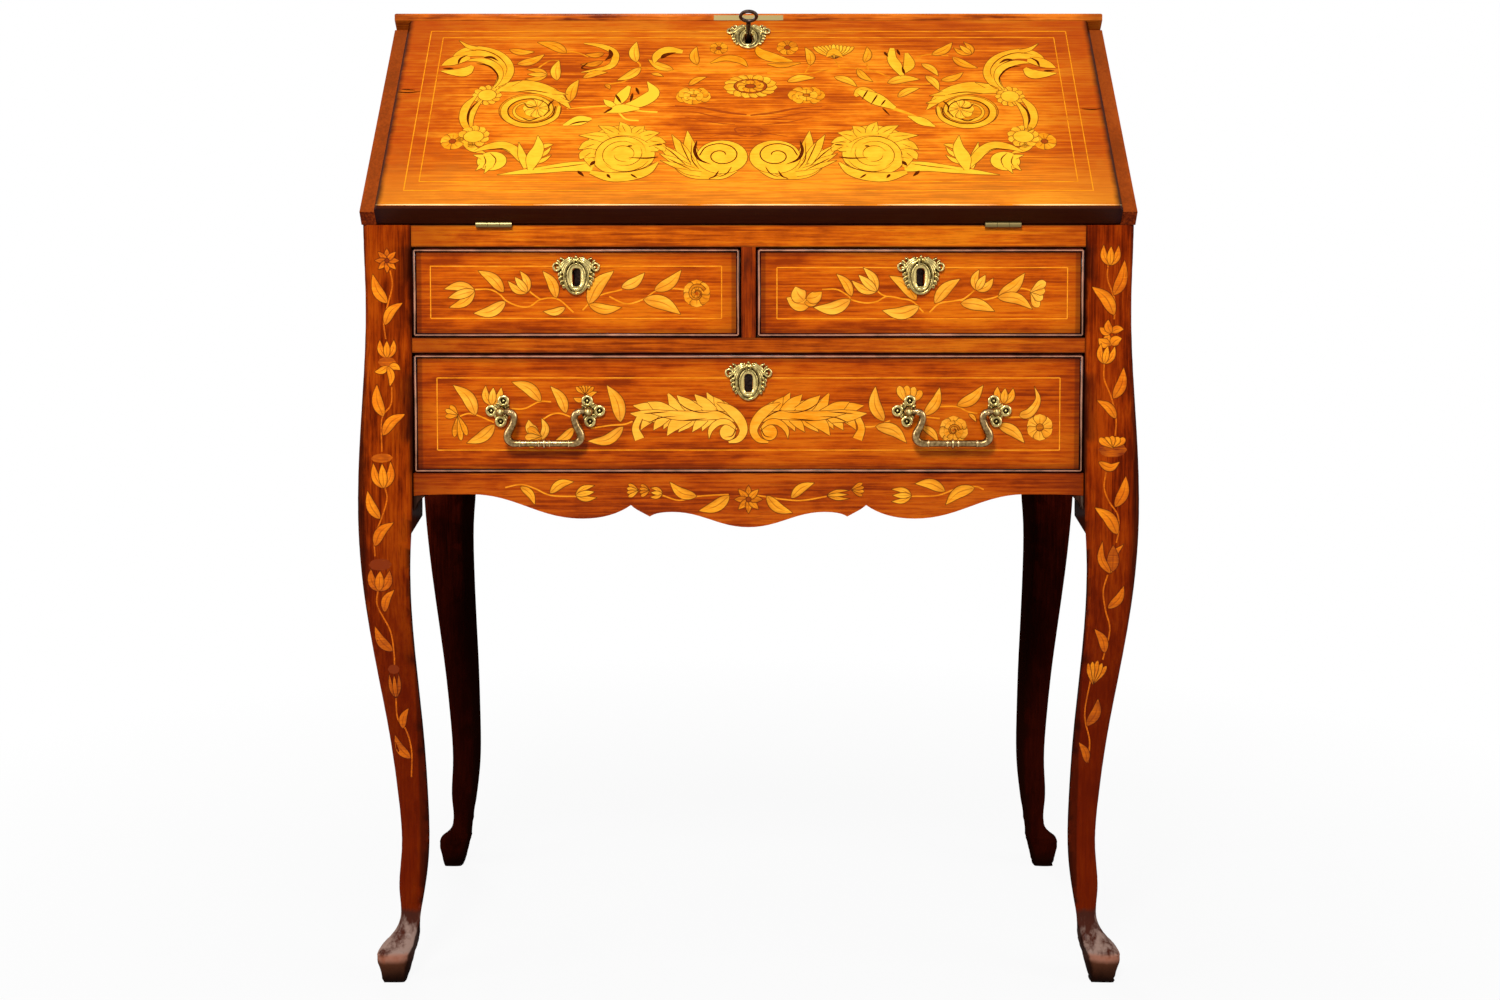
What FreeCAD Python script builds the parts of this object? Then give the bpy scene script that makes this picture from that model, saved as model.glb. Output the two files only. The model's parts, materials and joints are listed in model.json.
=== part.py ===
"""A slant-front writing desk on four cabriole legs, in millimetres.

+Z is up, +X is to the right as seen from the front, and the front faces -Y.
The origin is on the floor, under the middle of the desk's overall box.
Every piece of the real desk is its own solid, and parts/NODE.step holds one named piece or a
group of identical ones.
"""

import FreeCAD
import Part
import math
import os

V = FreeCAD.Vector

os.makedirs("parts", exist_ok=True)

# Overall sizes
CASE_WIDTH = 776.0          # across the two sides
CASE_DEPTH = 404.0          # front of the rails to the back board
WRITING_HEIGHT = 780.0      # hinge line of the fall, and the writing level when it is open
DESK_RISE = 236.7           # the top above the writing level
TOP_DEPTH = 228.7           # from the top's nose to the back
TOP_NOSE_HEIGHT = 7.5       # upright part of the nose, over its bevel

# Boards
SIDE_THICKNESS = 15.0
TOP_THICKNESS = 18.0
BACK_THICKNESS = 10.0
BOTTOM_THICKNESS = 10.0
RAIL_THICKNESS = 20.0
RAIL_SETBACK = 1.0          # rails and drawer fronts stand this far behind the stiles
JOINT_GAP = 0.2             # glue line between two pieces of the case
BED_DROP = 0.4              # the writing bed lies this far under the hinge line
TENON_LENGTH = 20.0
TENON_THICKNESS = 8.0
TENON_SHOULDER = 3.0

# Heights of the front's parts, from the writing level down
TOP_RAIL_HEIGHT = 22.0
SMALL_OPENING_HEIGHT = 91.0
MID_RAIL_HEIGHT = 15.4
LONG_OPENING_HEIGHT = 121.6
DIVIDER_WIDTH = 14.3

# Apron: depths below its own top edge, and shares of the way from the middle to the stile
APRON_END_DEPTH = 23.0
APRON_LOBE_DEPTH = 55.0
INNER_ARCH_SHARE = 0.227
INNER_ARCH_DEPTH = 39.5
POINT_SHARE = 0.295
POINT_DEPTH = 44.2
CUSP_SHARE = 0.351
CUSP_DEPTH = 32.5
OUTER_LOBE_SHARE = 0.496
OUTER_LOBE_DEPTH = 46.3
OUTER_ARCH_SHARE = 0.829
OUTER_ARCH_DEPTH = 21.5

# Legs: sawn to the same template on both faces. Below the knee the two inner faces lean away
# behind a narrow land, so that the section is smaller at the back.
STILE_WIDTH = 49.2
WAIST_IN = 1.3              # the stile draws in a little half way up the case
KNEE_OUT = 7.0              # and swells past the case side at the knee
KNEE_BELOW_APRON_TOP = 40.0
WAIST_BELOW_WRITING = 76.0
ANKLE_IN = 26.6
ANKLE_HEIGHT = 130.0
SHIN_TAPER = 1.35           # how soon the width is lost below the knee
ANKLE_WIDTH = 29.3
INSTEP_HEIGHT = 52.0
INSTEP_WIDTH = 24.5
INSTEP_IN = 22.3
TOE_HEIGHT = 30.0
TOE_WIDTH = 41.0
TOE_IN = 1.0
SOLE_WIDTH = 26.0
SOLE_IN = 9.5
INNER_LAND = 4.0
INNER_LEAN = 0.2            # mm for each mm of depth
LEAN_START = 20.0           # below the knee
STILE_CORNER_RADIUS = 8.0
BRACKET_REACH = 13.0
BRACKET_HEIGHT = 15.0

# Fall
FALL_THICKNESS = 22.0
FALL_SIDE_GAP = 0.6
FALL_PROUD = 8.0            # its face stands above the sloping edges of the sides
FALL_EDGE_CHAMFER = 3.0
FALL_FOOT_GAP = 1.0         # from the hinge line to its lower edge
HINGE_LINE_OUT = 1.5        # the hinge line stands in front of the stiles
TOP_EDGE_GAP = 0.6          # between the fall's upper edge and the top board
TOP_EDGE_RADIUS = 2.0
STOP_WIDTH = 10.0
STOP_DEPTH = 12.0
STOP_START_SHARE = 0.07     # along the fall, from the hinge line
STOP_END_SHARE = 0.92

# Hinges of the fall
HINGE_SHARE = 0.657         # of the half width of the case
HINGE_LENGTH = 36.0
HINGE_LEAF_WIDTH = 24.0
HINGE_LEAF_THICKNESS = 1.5
KNUCKLE_RADIUS = 3.4
KNUCKLE_CLEARANCE = 0.4
KNUCKLE_GAP = 0.3
HINGE_PIN_RADIUS = 1.5
PIN_CLEARANCE = 0.05
SCREW_RADIUS = 1.6
SCREW_LENGTH = 12.0
SCREW_SPACING = 22.0

# Lock of the fall, and its key
LOCK_WIDTH = 70.0
LOCK_HEIGHT = 44.0
LOCK_WALL = 1.5
LOCK_SINK = 1.0             # the lock lies this deep in the inner face
KEY_FROM_TOP = 26.0
BOLT_WIDTH = 16.0
BOLT_THICKNESS = 5.0
BOLT_LENGTH = 15.8
BOLT_ROOM = 0.5             # between the bolt and the lock's front plate
BOLT_TRAVEL = 8.0
BOLT_CLEARANCE = 0.3
STRIKER_WIDTH = 76.0
STRIKER_THICKNESS = 1.2
STRIKER_LIP = 5.5
STRIKER_MARGIN = 1.7        # from the bolt's slot to the plate's inner edge
KEY_RADIUS = 2.5
KEY_BORE_RADIUS = 1.3
KEY_PIN_CLEARANCE = 0.08
KEY_STEM_OUT = 19.0         # from the face of the fall to the bow
KEY_BIT_REACH = 9.0
KEY_BIT_LENGTH = 6.0
KEY_BIT_THICKNESS = 2.2
BOW_HALF_WIDTH = 10.5
BOW_HALF_LENGTH = 8.5
BOW_WIRE_RADIUS = 1.9
KEYHOLE_RADIUS = 4.4
KEYHOLE_SLOT_WIDTH = 8.0
KEYHOLE_DROP = 14.0

# Drawers
DRAWER_BACK_ROOM = 33.0     # from a closed drawer to the back board
DRAWER_CLEARANCE = 1.0
DRAWER_RUN_GAP = 0.3
FRONT_THICKNESS = 18.0
LINING_THICKNESS = 10.0
DRAWER_BACK_THICKNESS = 8.0
DRAWER_BOTTOM_THICKNESS = 6.0
DRAWER_BOTTOM_RISE = 4.0
SIDE_BELOW_FRONT = 3.0
BEAD_WIDTH = 4.0
BEAD_PROUD = 2.5
BEAD_RADIUS = 1.7
DRAWER_LOCK_WIDTH = 60.0
DRAWER_LOCK_HEIGHT = 36.0
DRAWER_LOCK_THICKNESS = 9.0
GUIDE_HEIGHT = 20.0
GUIDE_GAP = 0.4

# Brass fittings
ESCUTCHEON_THICKNESS = 2.5
ESCUTCHEON_OVAL_WIDTH = 28.0
ESCUTCHEON_OVAL_HEIGHT = 36.0
ESCUTCHEON_BELOW_TOP = 24.5     # keyhole centre below a drawer's upper edge
HANDLE_SHARE = 0.604            # middle of a handle, on the way from the middle to the stile
HANDLE_BELOW_TOP = 57.5         # pivot below the long drawer's upper edge
HANDLE_SPAN = 88.0              # between the two posts of a handle
ROSETTE_THICKNESS = 3.0
ROSETTE_RADIUS = 7.0
ROSETTE_LOBE_REACH = 10.0
ROSETTE_LOBE_RADIUS = 6.2
POST_RADIUS = 3.0
POST_BALL_RADIUS = 4.6
HANDLE_STANDOFF = 13.0          # pivot in front of the drawer's face
NUT_RADIUS = 6.0
NUT_THICKNESS = 3.0
BAIL_RADIUS = 2.9
BAIL_DROP = 34.5
BAIL_SHOULDER = 29.5            # half spans of the swan-neck bail, from the top down
BAIL_WAIST = 35.5
BAIL_GRIP = 27.0
BAIL_PIVOT_RADIUS = 1.6
BAIL_PIVOT_CLEARANCE = 0.08
BAIL_PIVOT_DEPTH = 3.5
BAIL_POST_GAP = 0.6

# Gallery of pigeonholes and small drawers inside
GALLERY_GAP = 6.8               # behind the closed fall's upper edge
GALLERY_BOARD = 6.0
GALLERY_DRAWER_SHARE = 0.33     # of the height inside
GALLERY_CENTRE_SHARE = 0.335    # of the width inside
PIGEONHOLES = 6
INNER_CLEARANCE = 0.8
INNER_FRONT_THICKNESS = 8.0
INNER_LINING = 5.0
INNER_SETBACK = 3.0
KNOB_RADIUS = 6.0
KNOB_LENGTH = 13.0
KNOB_STEM_RADIUS = 2.5

# Slope and length of the fall: its outer upper edge meets the foot of the top's nose
NOSE_RUN = CASE_DEPTH - TOP_DEPTH + HINGE_LINE_OUT
NOSE_RISE = DESK_RISE - TOP_NOSE_HEIGHT
EDGE_UP = math.sqrt(NOSE_RUN ** 2 + NOSE_RISE ** 2 - FALL_THICKNESS ** 2)
SLOPE = math.atan2(NOSE_RISE, NOSE_RUN) - math.atan2(FALL_THICKNESS, EDGE_UP)
SLOPE_ANGLE = math.degrees(SLOPE)
FALL_LENGTH = EDGE_UP - TOP_EDGE_GAP

# Bolt and lock, out from the fall's inner face: the bolt meets the bevel under the top's nose
BEVEL_INNER = FALL_THICKNESS - (TOP_THICKNESS - TOP_NOSE_HEIGHT) / math.cos(SLOPE)
BOLT_DEPTH = BEVEL_INNER + STRIKER_MARGIN
LOCK_THICKNESS = BOLT_DEPTH + BOLT_THICKNESS + BOLT_ROOM + LOCK_WALL - LOCK_SINK

# Places that follow from these sizes
OVERALL_HEIGHT = WRITING_HEIGHT + DESK_RISE
HALF = CASE_WIDTH / 2
NOSE_REACH = HINGE_LINE_OUT + FALL_THICKNESS * math.sin(SLOPE)
FRONT = (NOSE_REACH - KNEE_OUT - CASE_DEPTH) / 2
BACK = FRONT + CASE_DEPTH
MIDDLE = (FRONT + BACK) / 2
INNER_HALF = HALF - SIDE_THICKNESS
STILE_INNER = HALF - STILE_WIDTH
FACE = FRONT + RAIL_SETBACK
BED_TOP = WRITING_HEIGHT - BED_DROP
SMALL_TOP = BED_TOP - TOP_RAIL_HEIGHT
SMALL_BOTTOM = SMALL_TOP - SMALL_OPENING_HEIGHT
LONG_TOP = SMALL_BOTTOM - MID_RAIL_HEIGHT
LONG_BOTTOM = LONG_TOP - LONG_OPENING_HEIGHT
APRON_TOP = LONG_BOTTOM
CASE_BOTTOM = APRON_TOP - APRON_END_DEPTH
KNEE_HEIGHT = APRON_TOP - KNEE_BELOW_APRON_TOP
WAIST_HEIGHT = WRITING_HEIGHT - WAIST_BELOW_WRITING
TOP_UNDER = OVERALL_HEIGHT - TOP_THICKNESS
HINGE_POINT = V(0, FRONT - HINGE_LINE_OUT, WRITING_HEIGHT)
BACK_FACE = BACK - BACK_THICKNESS
LEG_BACK = FRONT + STILE_WIDTH + JOINT_GAP
KEY_UP = FALL_LENGTH - KEY_FROM_TOP
HINGE_OFFSET = HALF * HINGE_SHARE
HANDLE_OFFSET = STILE_INNER * HANDLE_SHARE
DRAWER_LENGTH = BACK_FACE - FACE - DRAWER_BACK_ROOM


# Small helpers

def box(x0, x1, y0, y1, z0, z1):
    """A box between two corners."""
    return Part.makeBox(x1 - x0, y1 - y0, z1 - z0, V(x0, y0, z0))


def prism(points, direction):
    """A closed polygon of points, extruded along a vector."""
    wire = Part.makePolygon(list(points) + [points[0]])
    return Part.Face(wire).extrude(direction)


def cylinder(radius, start, direction, length):
    return Part.makeCylinder(radius, length, start, direction)


def save(name, *solids):
    """Writes one node, which may be a group of identical pieces."""
    shape = solids[0] if len(solids) == 1 else Part.makeCompound(list(solids))
    assert shape.isValid(), name
    shape.exportStep("parts/" + name + ".step")


def mirror_x(shape):
    return shape.mirror(V(0, 0, 0), V(1, 0, 0))


def mirror_depth(shape):
    return shape.mirror(V(0, MIDDLE, 0), V(0, 1, 0))


def on_front(shape, x, z):
    """Moves a fitting drawn with x right, y up and z outwards on to the drawer fronts."""
    placed = shape.copy()
    turned = FreeCAD.Placement(V(x, FACE, z), FreeCAD.Rotation(V(1, 0, 0), 90))
    placed.Placement = turned.multiply(shape.Placement)
    return placed


def on_fall(shape):
    """Moves a piece drawn in the fall's own frame to the closed fall.

    There x is right, y runs up the slope from the hinge line and z stands out of the fall.
    """
    placed = shape.copy()
    turned = FreeCAD.Placement(HINGE_POINT, FreeCAD.Rotation(V(1, 0, 0), SLOPE_ANGLE))
    placed.Placement = turned.multiply(shape.Placement)
    return placed


def fall_point(up, out):
    """A point of the fall's frame, in the desk's frame."""
    return V(
        0,
        HINGE_POINT.y + up * math.cos(SLOPE) - out * math.sin(SLOPE),
        HINGE_POINT.z + up * math.sin(SLOPE) + out * math.cos(SLOPE),
    )


# Legs

def swing(high, low, share):
    """A half wave from high to low as share goes from 0 to 1."""
    return high + (low - high) * (1 - math.cos(math.pi * share)) / 2


def leg_outline(z):
    """How far the outer line stands outside the case side at a height, and the leg's width."""
    if z >= WAIST_HEIGHT:
        out = swing(0, -WAIST_IN, (BED_TOP - z) / (BED_TOP - WAIST_HEIGHT))
        return out, STILE_WIDTH + out
    if z >= KNEE_HEIGHT:
        out = swing(-WAIST_IN, KNEE_OUT, (WAIST_HEIGHT - z) / (WAIST_HEIGHT - KNEE_HEIGHT))
        return out, STILE_WIDTH + out
    share = (KNEE_HEIGHT - z) / (KNEE_HEIGHT - ANKLE_HEIGHT)
    knee_width = STILE_WIDTH + KNEE_OUT
    width = ANKLE_WIDTH + (knee_width - ANKLE_WIDTH) * max(0.0, 1 - share) ** SHIN_TAPER
    return swing(KNEE_OUT, -ANKLE_IN, share), width


def spline(points, **tangents):
    """A smooth edge through points."""
    curve = Part.BSplineCurve()
    curve.interpolate(Points=points, **tangents)
    return curve.toShape()


def shin_stations():
    """Heights from the knee to the instep, each with the outer line's place and the leg's width."""
    heights = [KNEE_HEIGHT + (ANKLE_HEIGHT - KNEE_HEIGHT) * i / 6 for i in range(7)]
    stations = [(z, *leg_outline(z)) for z in heights]
    instep = (INSTEP_HEIGHT, -INSTEP_IN, INSTEP_WIDTH)
    between = tuple((a + b) / 2 for a, b in zip(stations[-1], instep))
    return stations + [between, instep]


def leg_template():
    """The face that the leg is sawn to: stile, knee, shin, ankle and pad foot."""
    stile = [BED_TOP, (BED_TOP + WAIST_HEIGHT) / 2]
    stile += [WAIST_HEIGHT + (KNEE_HEIGHT - WAIST_HEIGHT) * i / 4 for i in range(4)]
    shin = shin_stations()
    instep = V(-(HALF - INSTEP_IN), 0, INSTEP_HEIGHT)
    toe = V(-(HALF - TOE_IN), 0, TOE_HEIGHT)
    arch = (instep + toe) / 2 - V(0, 0, INSTEP_WIDTH / 10)
    heel = toe + V(TOE_WIDTH, 0, 0)
    sole_out = V(-(HALF - SOLE_IN), 0, 0)
    sole_in = sole_out + V(SOLE_WIDTH, 0, 0)
    outer = [V(-(HALF + leg_outline(z)[0]), 0, z) for z in stile]
    outer += [V(-(HALF + out), 0, z) for z, out, width in shin] + [arch, toe]
    inner = [V(width - HALF - out, 0, z) for z, out, width in shin] + [heel]
    top_in = V(-STILE_INNER, 0, BED_TOP)
    corners = [toe, sole_out, sole_in, heel]
    edges = [Part.LineSegment(p, q).toShape() for p, q in zip(corners, corners[1:])]
    edges += [
        spline(outer),
        spline(inner, InitialTangent=V(0, 0, -1), FinalTangent=V(-0.5, 0, -1)),
        Part.LineSegment(inner[0], top_in).toShape(),
        Part.LineSegment(top_in, outer[0]).toShape(),
    ]
    return Part.Face(Part.Wire(Part.__sortEdges__(edges)))


def leg_relief():
    """A face whose right edge is the shin's inner line, wide of the stile above it and of the foot.

    Extruded at a slant, it takes the shin's inner face away towards the back.
    """
    reach = 2 * STILE_WIDTH
    start = KNEE_HEIGHT - LEAN_START
    stations = [(start, *leg_outline(start))]
    stations += [station for station in shin_stations() if station[0] < start - LEAN_START]
    line = [V(width - HALF - out + INNER_LEAN * (INNER_LAND - out), 0, z) for z, out, width in stations]
    heel = V(TOE_IN + TOE_WIDTH - HALF, 0, TOE_HEIGHT)
    line.append(heel + V(2 * INNER_LEAN * (TOE_IN + TOE_WIDTH), 0, 0))
    clear = line[0].x + 2 * INNER_LEAN * (STILE_WIDTH + KNEE_OUT)
    top, bottom, left, right = BED_TOP + reach, -reach, -HALF - reach, reach - STILE_INNER
    corners = [
        line[-1], V(line[-1].x, 0, bottom), V(left, 0, bottom), V(left, 0, top), V(right, 0, top),
        V(right, 0, KNEE_HEIGHT), V(clear, 0, KNEE_HEIGHT), line[0],
    ]
    edges = [Part.LineSegment(p, q).toShape() for p, q in zip(corners, corners[1:])]
    return Part.Face(Part.Wire(Part.__sortEdges__(edges + [spline(line)])))


def outer_arris(leg):
    """The long upright edge on the desk's own corner."""
    edges = [edge for edge in leg.Edges if edge.BoundBox.ZLength > 2 * TOE_HEIGHT]
    return min(edges, key=lambda edge: edge.BoundBox.Center.x + edge.BoundBox.Center.y)


def front_left_leg():
    """Stile and cabriole leg in one piece: sawn to one template from both sides, then eased inside.

    Only the arris on the corner of the desk is rounded.
    """
    reach = 2 * STILE_WIDTH
    sawn = []
    for face, lean in ((leg_template(), 0.0), (leg_relief(), INNER_LEAN)):
        turned = face.copy()
        face.translate(V(lean * reach, FRONT - reach, 0))
        sawn.append(face.extrude(V(-lean * 3 * reach, 3 * reach, 0)))
        turned.rotate(V(0, 0, 0), V(0, 0, 1), 90)
        turned.translate(V(-HALF - reach, FRONT + HALF + lean * reach, 0))
        sawn.append(turned.extrude(V(3 * reach, -lean * 3 * reach, 0)))
    leg = sawn[0].common(sawn[1])
    leg = leg.makeFillet(STILE_CORNER_RADIUS, [outer_arris(leg)])
    return leg.common(sawn[2]).common(sawn[3])


def tenon(x0, x1, z0, z1):
    """The tongue at a rail's end, in the middle of the rail's thickness."""
    y = FACE + RAIL_THICKNESS / 2
    shoulder = min(TENON_SHOULDER, (z1 - z0) / 4)
    return box(x0, x1, y - TENON_THICKNESS / 2, y + TENON_THICKNESS / 2, z0 + shoulder, z1 - shoulder)


RAIL_HEIGHTS = {
    "top_rail": (SMALL_TOP, BED_TOP),
    "mid_rail": (LONG_TOP, SMALL_BOTTOM),
    "front_apron": (CASE_BOTTOM, APRON_TOP),
}


def rail_tenons():
    """The tongues of the three front rails at the left end."""
    root = -STILE_INNER + JOINT_GAP
    return [tenon(root - TENON_LENGTH, root, z0, z1) for z0, z1 in RAIL_HEIGHTS.values()]


def legs():
    plain = front_left_leg()
    mortised = plain
    for tongue in rail_tenons():
        mortised = mortised.cut(tongue)
    save("front_left_leg", mortised)
    save("front_right_leg", mirror_x(mortised))
    rear = mirror_depth(plain)
    save("rear_left_leg", rear)
    save("rear_right_leg", mirror_x(rear))


# Front rails, apron and brackets

def with_tenons(rail, name):
    """A rail and the tongues at both of its ends."""
    z0, z1 = RAIL_HEIGHTS[name]
    root = -STILE_INNER + JOINT_GAP
    tongue = tenon(root - TENON_LENGTH, root + TENON_SHOULDER, z0, z1)
    return rail.fuse([tongue, mirror_x(tongue)]).removeSplitter()


def straight_rail(name):
    z0, z1 = RAIL_HEIGHTS[name]
    end = STILE_INNER - JOINT_GAP
    return box(-end, end, FACE, FACE + RAIL_THICKNESS, z0, z1)


def apron_edge(share, depth):
    return V(STILE_INNER * share, FACE, APRON_TOP - depth)


def half_apron_curves():
    """The scalloped lower edge from the middle to the right end, as smooth runs between its cusps."""
    middle = apron_edge(0, APRON_LOBE_DEPTH)
    arch = apron_edge(INNER_ARCH_SHARE, INNER_ARCH_DEPTH)
    point = apron_edge(POINT_SHARE, POINT_DEPTH)
    cusp = apron_edge(CUSP_SHARE, CUSP_DEPTH)
    lobe = apron_edge(OUTER_LOBE_SHARE, OUTER_LOBE_DEPTH)
    high = apron_edge(OUTER_ARCH_SHARE, OUTER_ARCH_DEPTH)
    end = V(STILE_INNER - JOINT_GAP, FACE, APRON_TOP - APRON_END_DEPTH)
    runs = [
        ([middle, (middle + arch) / 2, arch], V(1, 0, 0), V(1, 0, 0)),
        ([arch, point], V(1, 0, 0), V(1, 0, -0.7)),
        ([point, cusp], V(1, 0, 0.6), V(0.8, 0, 0.8)),
        ([cusp, lobe], V(1, 0, -0.7), V(1, 0, 0)),
        ([lobe, (lobe + high) / 2, high], V(1, 0, 0), V(1, 0, 0)),
        ([high, end], V(1, 0, 0), V(1, 0, -0.1)),
    ]
    edges = []
    for points, start, finish in runs:
        edges.append(spline(points, InitialTangent=start, FinalTangent=finish))
    return edges


def front_apron():
    right = half_apron_curves()
    left = [mirror_x(edge) for edge in right]
    end = STILE_INNER - JOINT_GAP
    low = APRON_TOP - APRON_END_DEPTH
    corners = [V(-end, FACE, low), V(-end, FACE, APRON_TOP), V(end, FACE, APRON_TOP), V(end, FACE, low)]
    straight = [Part.LineSegment(a, b).toShape() for a, b in zip(corners, corners[1:])]
    wire = Part.Wire(Part.__sortEdges__(right + left + straight))
    return Part.Face(wire).extrude(V(0, RAIL_THICKNESS, 0))


def knee_bracket():
    """The small ear under the apron's right end, against the leg."""
    x1 = STILE_INNER - JOINT_GAP
    z1 = CASE_BOTTOM - JOINT_GAP
    corner, inner, low = V(x1, FACE, z1), V(x1 - BRACKET_REACH, FACE, z1), V(x1, FACE, z1 - BRACKET_HEIGHT)
    middle = V(x1 - BRACKET_REACH * 0.36, FACE, z1 - BRACKET_HEIGHT * 0.36)
    wire = Part.Wire([
        Part.LineSegment(corner, inner).toShape(),
        Part.Arc(inner, middle, low).toShape(),
        Part.LineSegment(low, corner).toShape(),
    ])
    return Part.Face(wire).extrude(V(0, RAIL_THICKNESS, 0))


def hinge_pockets(shape):
    """Clears room in a piece of the case for the knuckles and the leaves of both hinges."""
    for x in (-HINGE_OFFSET, HINGE_OFFSET):
        half = HINGE_LENGTH / 2 + KNUCKLE_GAP
        start = HINGE_POINT + V(x - half, 0, 0)
        knuckle = cylinder(KNUCKLE_RADIUS + KNUCKLE_CLEARANCE, start, V(1, 0, 0), 2 * half)
        leaf = box(
            x - HINGE_LENGTH / 2, x + HINGE_LENGTH / 2, HINGE_POINT.y, HINGE_POINT.y + HINGE_LEAF_WIDTH,
            BED_TOP - HINGE_LEAF_THICKNESS, BED_TOP + HINGE_LEAF_THICKNESS,
        )
        shape = shape.cut([knuckle, leaf])
        for screw in leaf_screws(x):
            shape = shape.cut(screw)
    return shape


def rails():
    save("top_rail", hinge_pockets(with_tenons(straight_rail("top_rail"), "top_rail")))
    save("mid_rail", with_tenons(straight_rail("mid_rail"), "mid_rail"))
    save("front_apron", with_tenons(front_apron(), "front_apron"))
    bracket = knee_bracket()
    save("knee_brackets", bracket, mirror_x(bracket))
    save("drawer_divider", box(
        -DIVIDER_WIDTH / 2, DIVIDER_WIDTH / 2, FACE, BACK_FACE - JOINT_GAP, SMALL_BOTTOM, SMALL_TOP,
    ))


# Sides, top, back and the level boards

def side_panel():
    """The right side: sloping at the front above the writing level, between the legs below it."""
    seat = WRITING_HEIGHT - JOINT_GAP
    slope_out = FALL_THICKNESS - FALL_PROUD
    nose = fall_point(FALL_FOOT_GAP * 4, slope_out)
    rise = (TOP_UNDER - nose.z) / math.sin(SLOPE)
    shoulder = fall_point(FALL_FOOT_GAP * 4 + rise, slope_out)
    outline = [
        V(0, LEG_BACK, CASE_BOTTOM), V(0, LEG_BACK, seat), V(0, FRONT, seat), V(0, nose.y, nose.z),
        V(0, shoulder.y, TOP_UNDER), V(0, BACK, TOP_UNDER), V(0, BACK, seat),
        V(0, 2 * MIDDLE - LEG_BACK, seat), V(0, 2 * MIDDLE - LEG_BACK, CASE_BOTTOM),
    ]
    slab = prism([p + V(INNER_HALF, 0, 0) for p in outline], V(HALF + KNEE_OUT - INNER_HALF, 0, 0))
    levels = 5
    waist_to_foot = WAIST_HEIGHT - CASE_BOTTOM
    curve_points = [V(HALF, 0, seat)] + [
        V(HALF + leg_outline(z)[0] - JOINT_GAP, 0, z)
        for z in [WAIST_HEIGHT - waist_to_foot * i / levels for i in range(levels + 1)]
    ]
    inner_low, inner_high = V(INNER_HALF, 0, CASE_BOTTOM), V(INNER_HALF, 0, TOP_UNDER)
    wire = Part.Wire([
        spline(curve_points),
        Part.LineSegment(curve_points[-1], inner_low).toShape(),
        Part.LineSegment(inner_low, inner_high).toShape(),
        Part.LineSegment(inner_high, V(HALF, 0, TOP_UNDER)).toShape(),
        Part.LineSegment(V(HALF, 0, TOP_UNDER), curve_points[0]).toShape(),
    ])
    depth = CASE_DEPTH + 2 * NOSE_REACH
    section = Part.Face(wire).extrude(V(0, depth, 0))
    section.translate(V(0, FRONT - NOSE_REACH, 0))
    return slab.common(section)


def top_profile():
    """The top board's front edge: a short upright nose over a bevel that follows the fall's upper edge."""
    return fall_point(EDGE_UP, FALL_THICKNESS), fall_point(EDGE_UP, BEVEL_INNER)


def top_board():
    outer, inner = top_profile()
    outline = [
        V(-HALF, outer.y, outer.z), V(-HALF, outer.y, OVERALL_HEIGHT), V(-HALF, BACK, OVERALL_HEIGHT),
        V(-HALF, BACK, TOP_UNDER), V(-HALF, inner.y, TOP_UNDER),
    ]
    board = prism(outline, V(CASE_WIDTH, 0, 0))
    rounded = [
        e for e in board.Edges
        if abs(e.BoundBox.ZMin - OVERALL_HEIGHT) < 0.01 and e.BoundBox.YMin < BACK - 1
    ]
    board = board.makeFillet(TOP_EDGE_RADIUS, rounded)
    board = board.cut(striker_plate(True))
    pocket = box(
        -BOLT_WIDTH / 2 - BOLT_CLEARANCE, BOLT_WIDTH / 2 + BOLT_CLEARANCE,
        FALL_LENGTH, FALL_LENGTH + BOLT_TRAVEL + 1,
        BOLT_DEPTH - BOLT_CLEARANCE, BOLT_DEPTH + BOLT_THICKNESS + BOLT_CLEARANCE,
    )
    return board.cut(on_fall(pocket))


def striker_plate(blank=False):
    """Brass plate in the top's front edge: a bevelled leaf with the bolt's slot, and an upright lip."""
    outer = top_profile()[0]
    half = STRIKER_WIDTH / 2
    leaf = on_fall(box(-half, half, EDGE_UP, EDGE_UP + STRIKER_THICKNESS, BEVEL_INNER, FALL_THICKNESS))
    lip = box(-half, half, outer.y, outer.y + STRIKER_THICKNESS, outer.z, outer.z + STRIKER_LIP)
    leaf = leaf.cut(box(-half, half, BACK - CASE_DEPTH, BACK, TOP_UNDER - TOP_THICKNESS, TOP_UNDER))
    plate = leaf.fuse(lip).removeSplitter()
    if blank:
        return plate
    slot = box(
        -BOLT_WIDTH / 2 - BOLT_CLEARANCE, BOLT_WIDTH / 2 + BOLT_CLEARANCE,
        FALL_LENGTH, EDGE_UP + 2 * STRIKER_THICKNESS,
        BOLT_DEPTH - BOLT_CLEARANCE, BOLT_DEPTH + BOLT_THICKNESS + BOLT_CLEARANCE,
    )
    return plate.cut(on_fall(slot))


def level_board(z0, z1, front):
    """A board across the case, notched round the legs."""
    wide = INNER_HALF - JOINT_GAP
    narrow = STILE_INNER - JOINT_GAP
    rear_leg = 2 * MIDDLE - LEG_BACK
    middle = box(-wide, wide, LEG_BACK, rear_leg, z0, z1)
    tongue = box(-narrow, narrow, front, BACK_FACE - JOINT_GAP, z0, z1)
    return middle.fuse(tongue).removeSplitter()


def back_board():
    """The back: between the sides above the legs, and between the legs below."""
    wide = INNER_HALF - JOINT_GAP
    narrow = STILE_INNER - JOINT_GAP
    upper = box(-wide, wide, BACK_FACE, BACK, WRITING_HEIGHT, TOP_UNDER - JOINT_GAP)
    lower = box(-narrow, narrow, BACK_FACE, BACK, CASE_BOTTOM, WRITING_HEIGHT)
    return upper.fuse(lower).removeSplitter()


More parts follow.
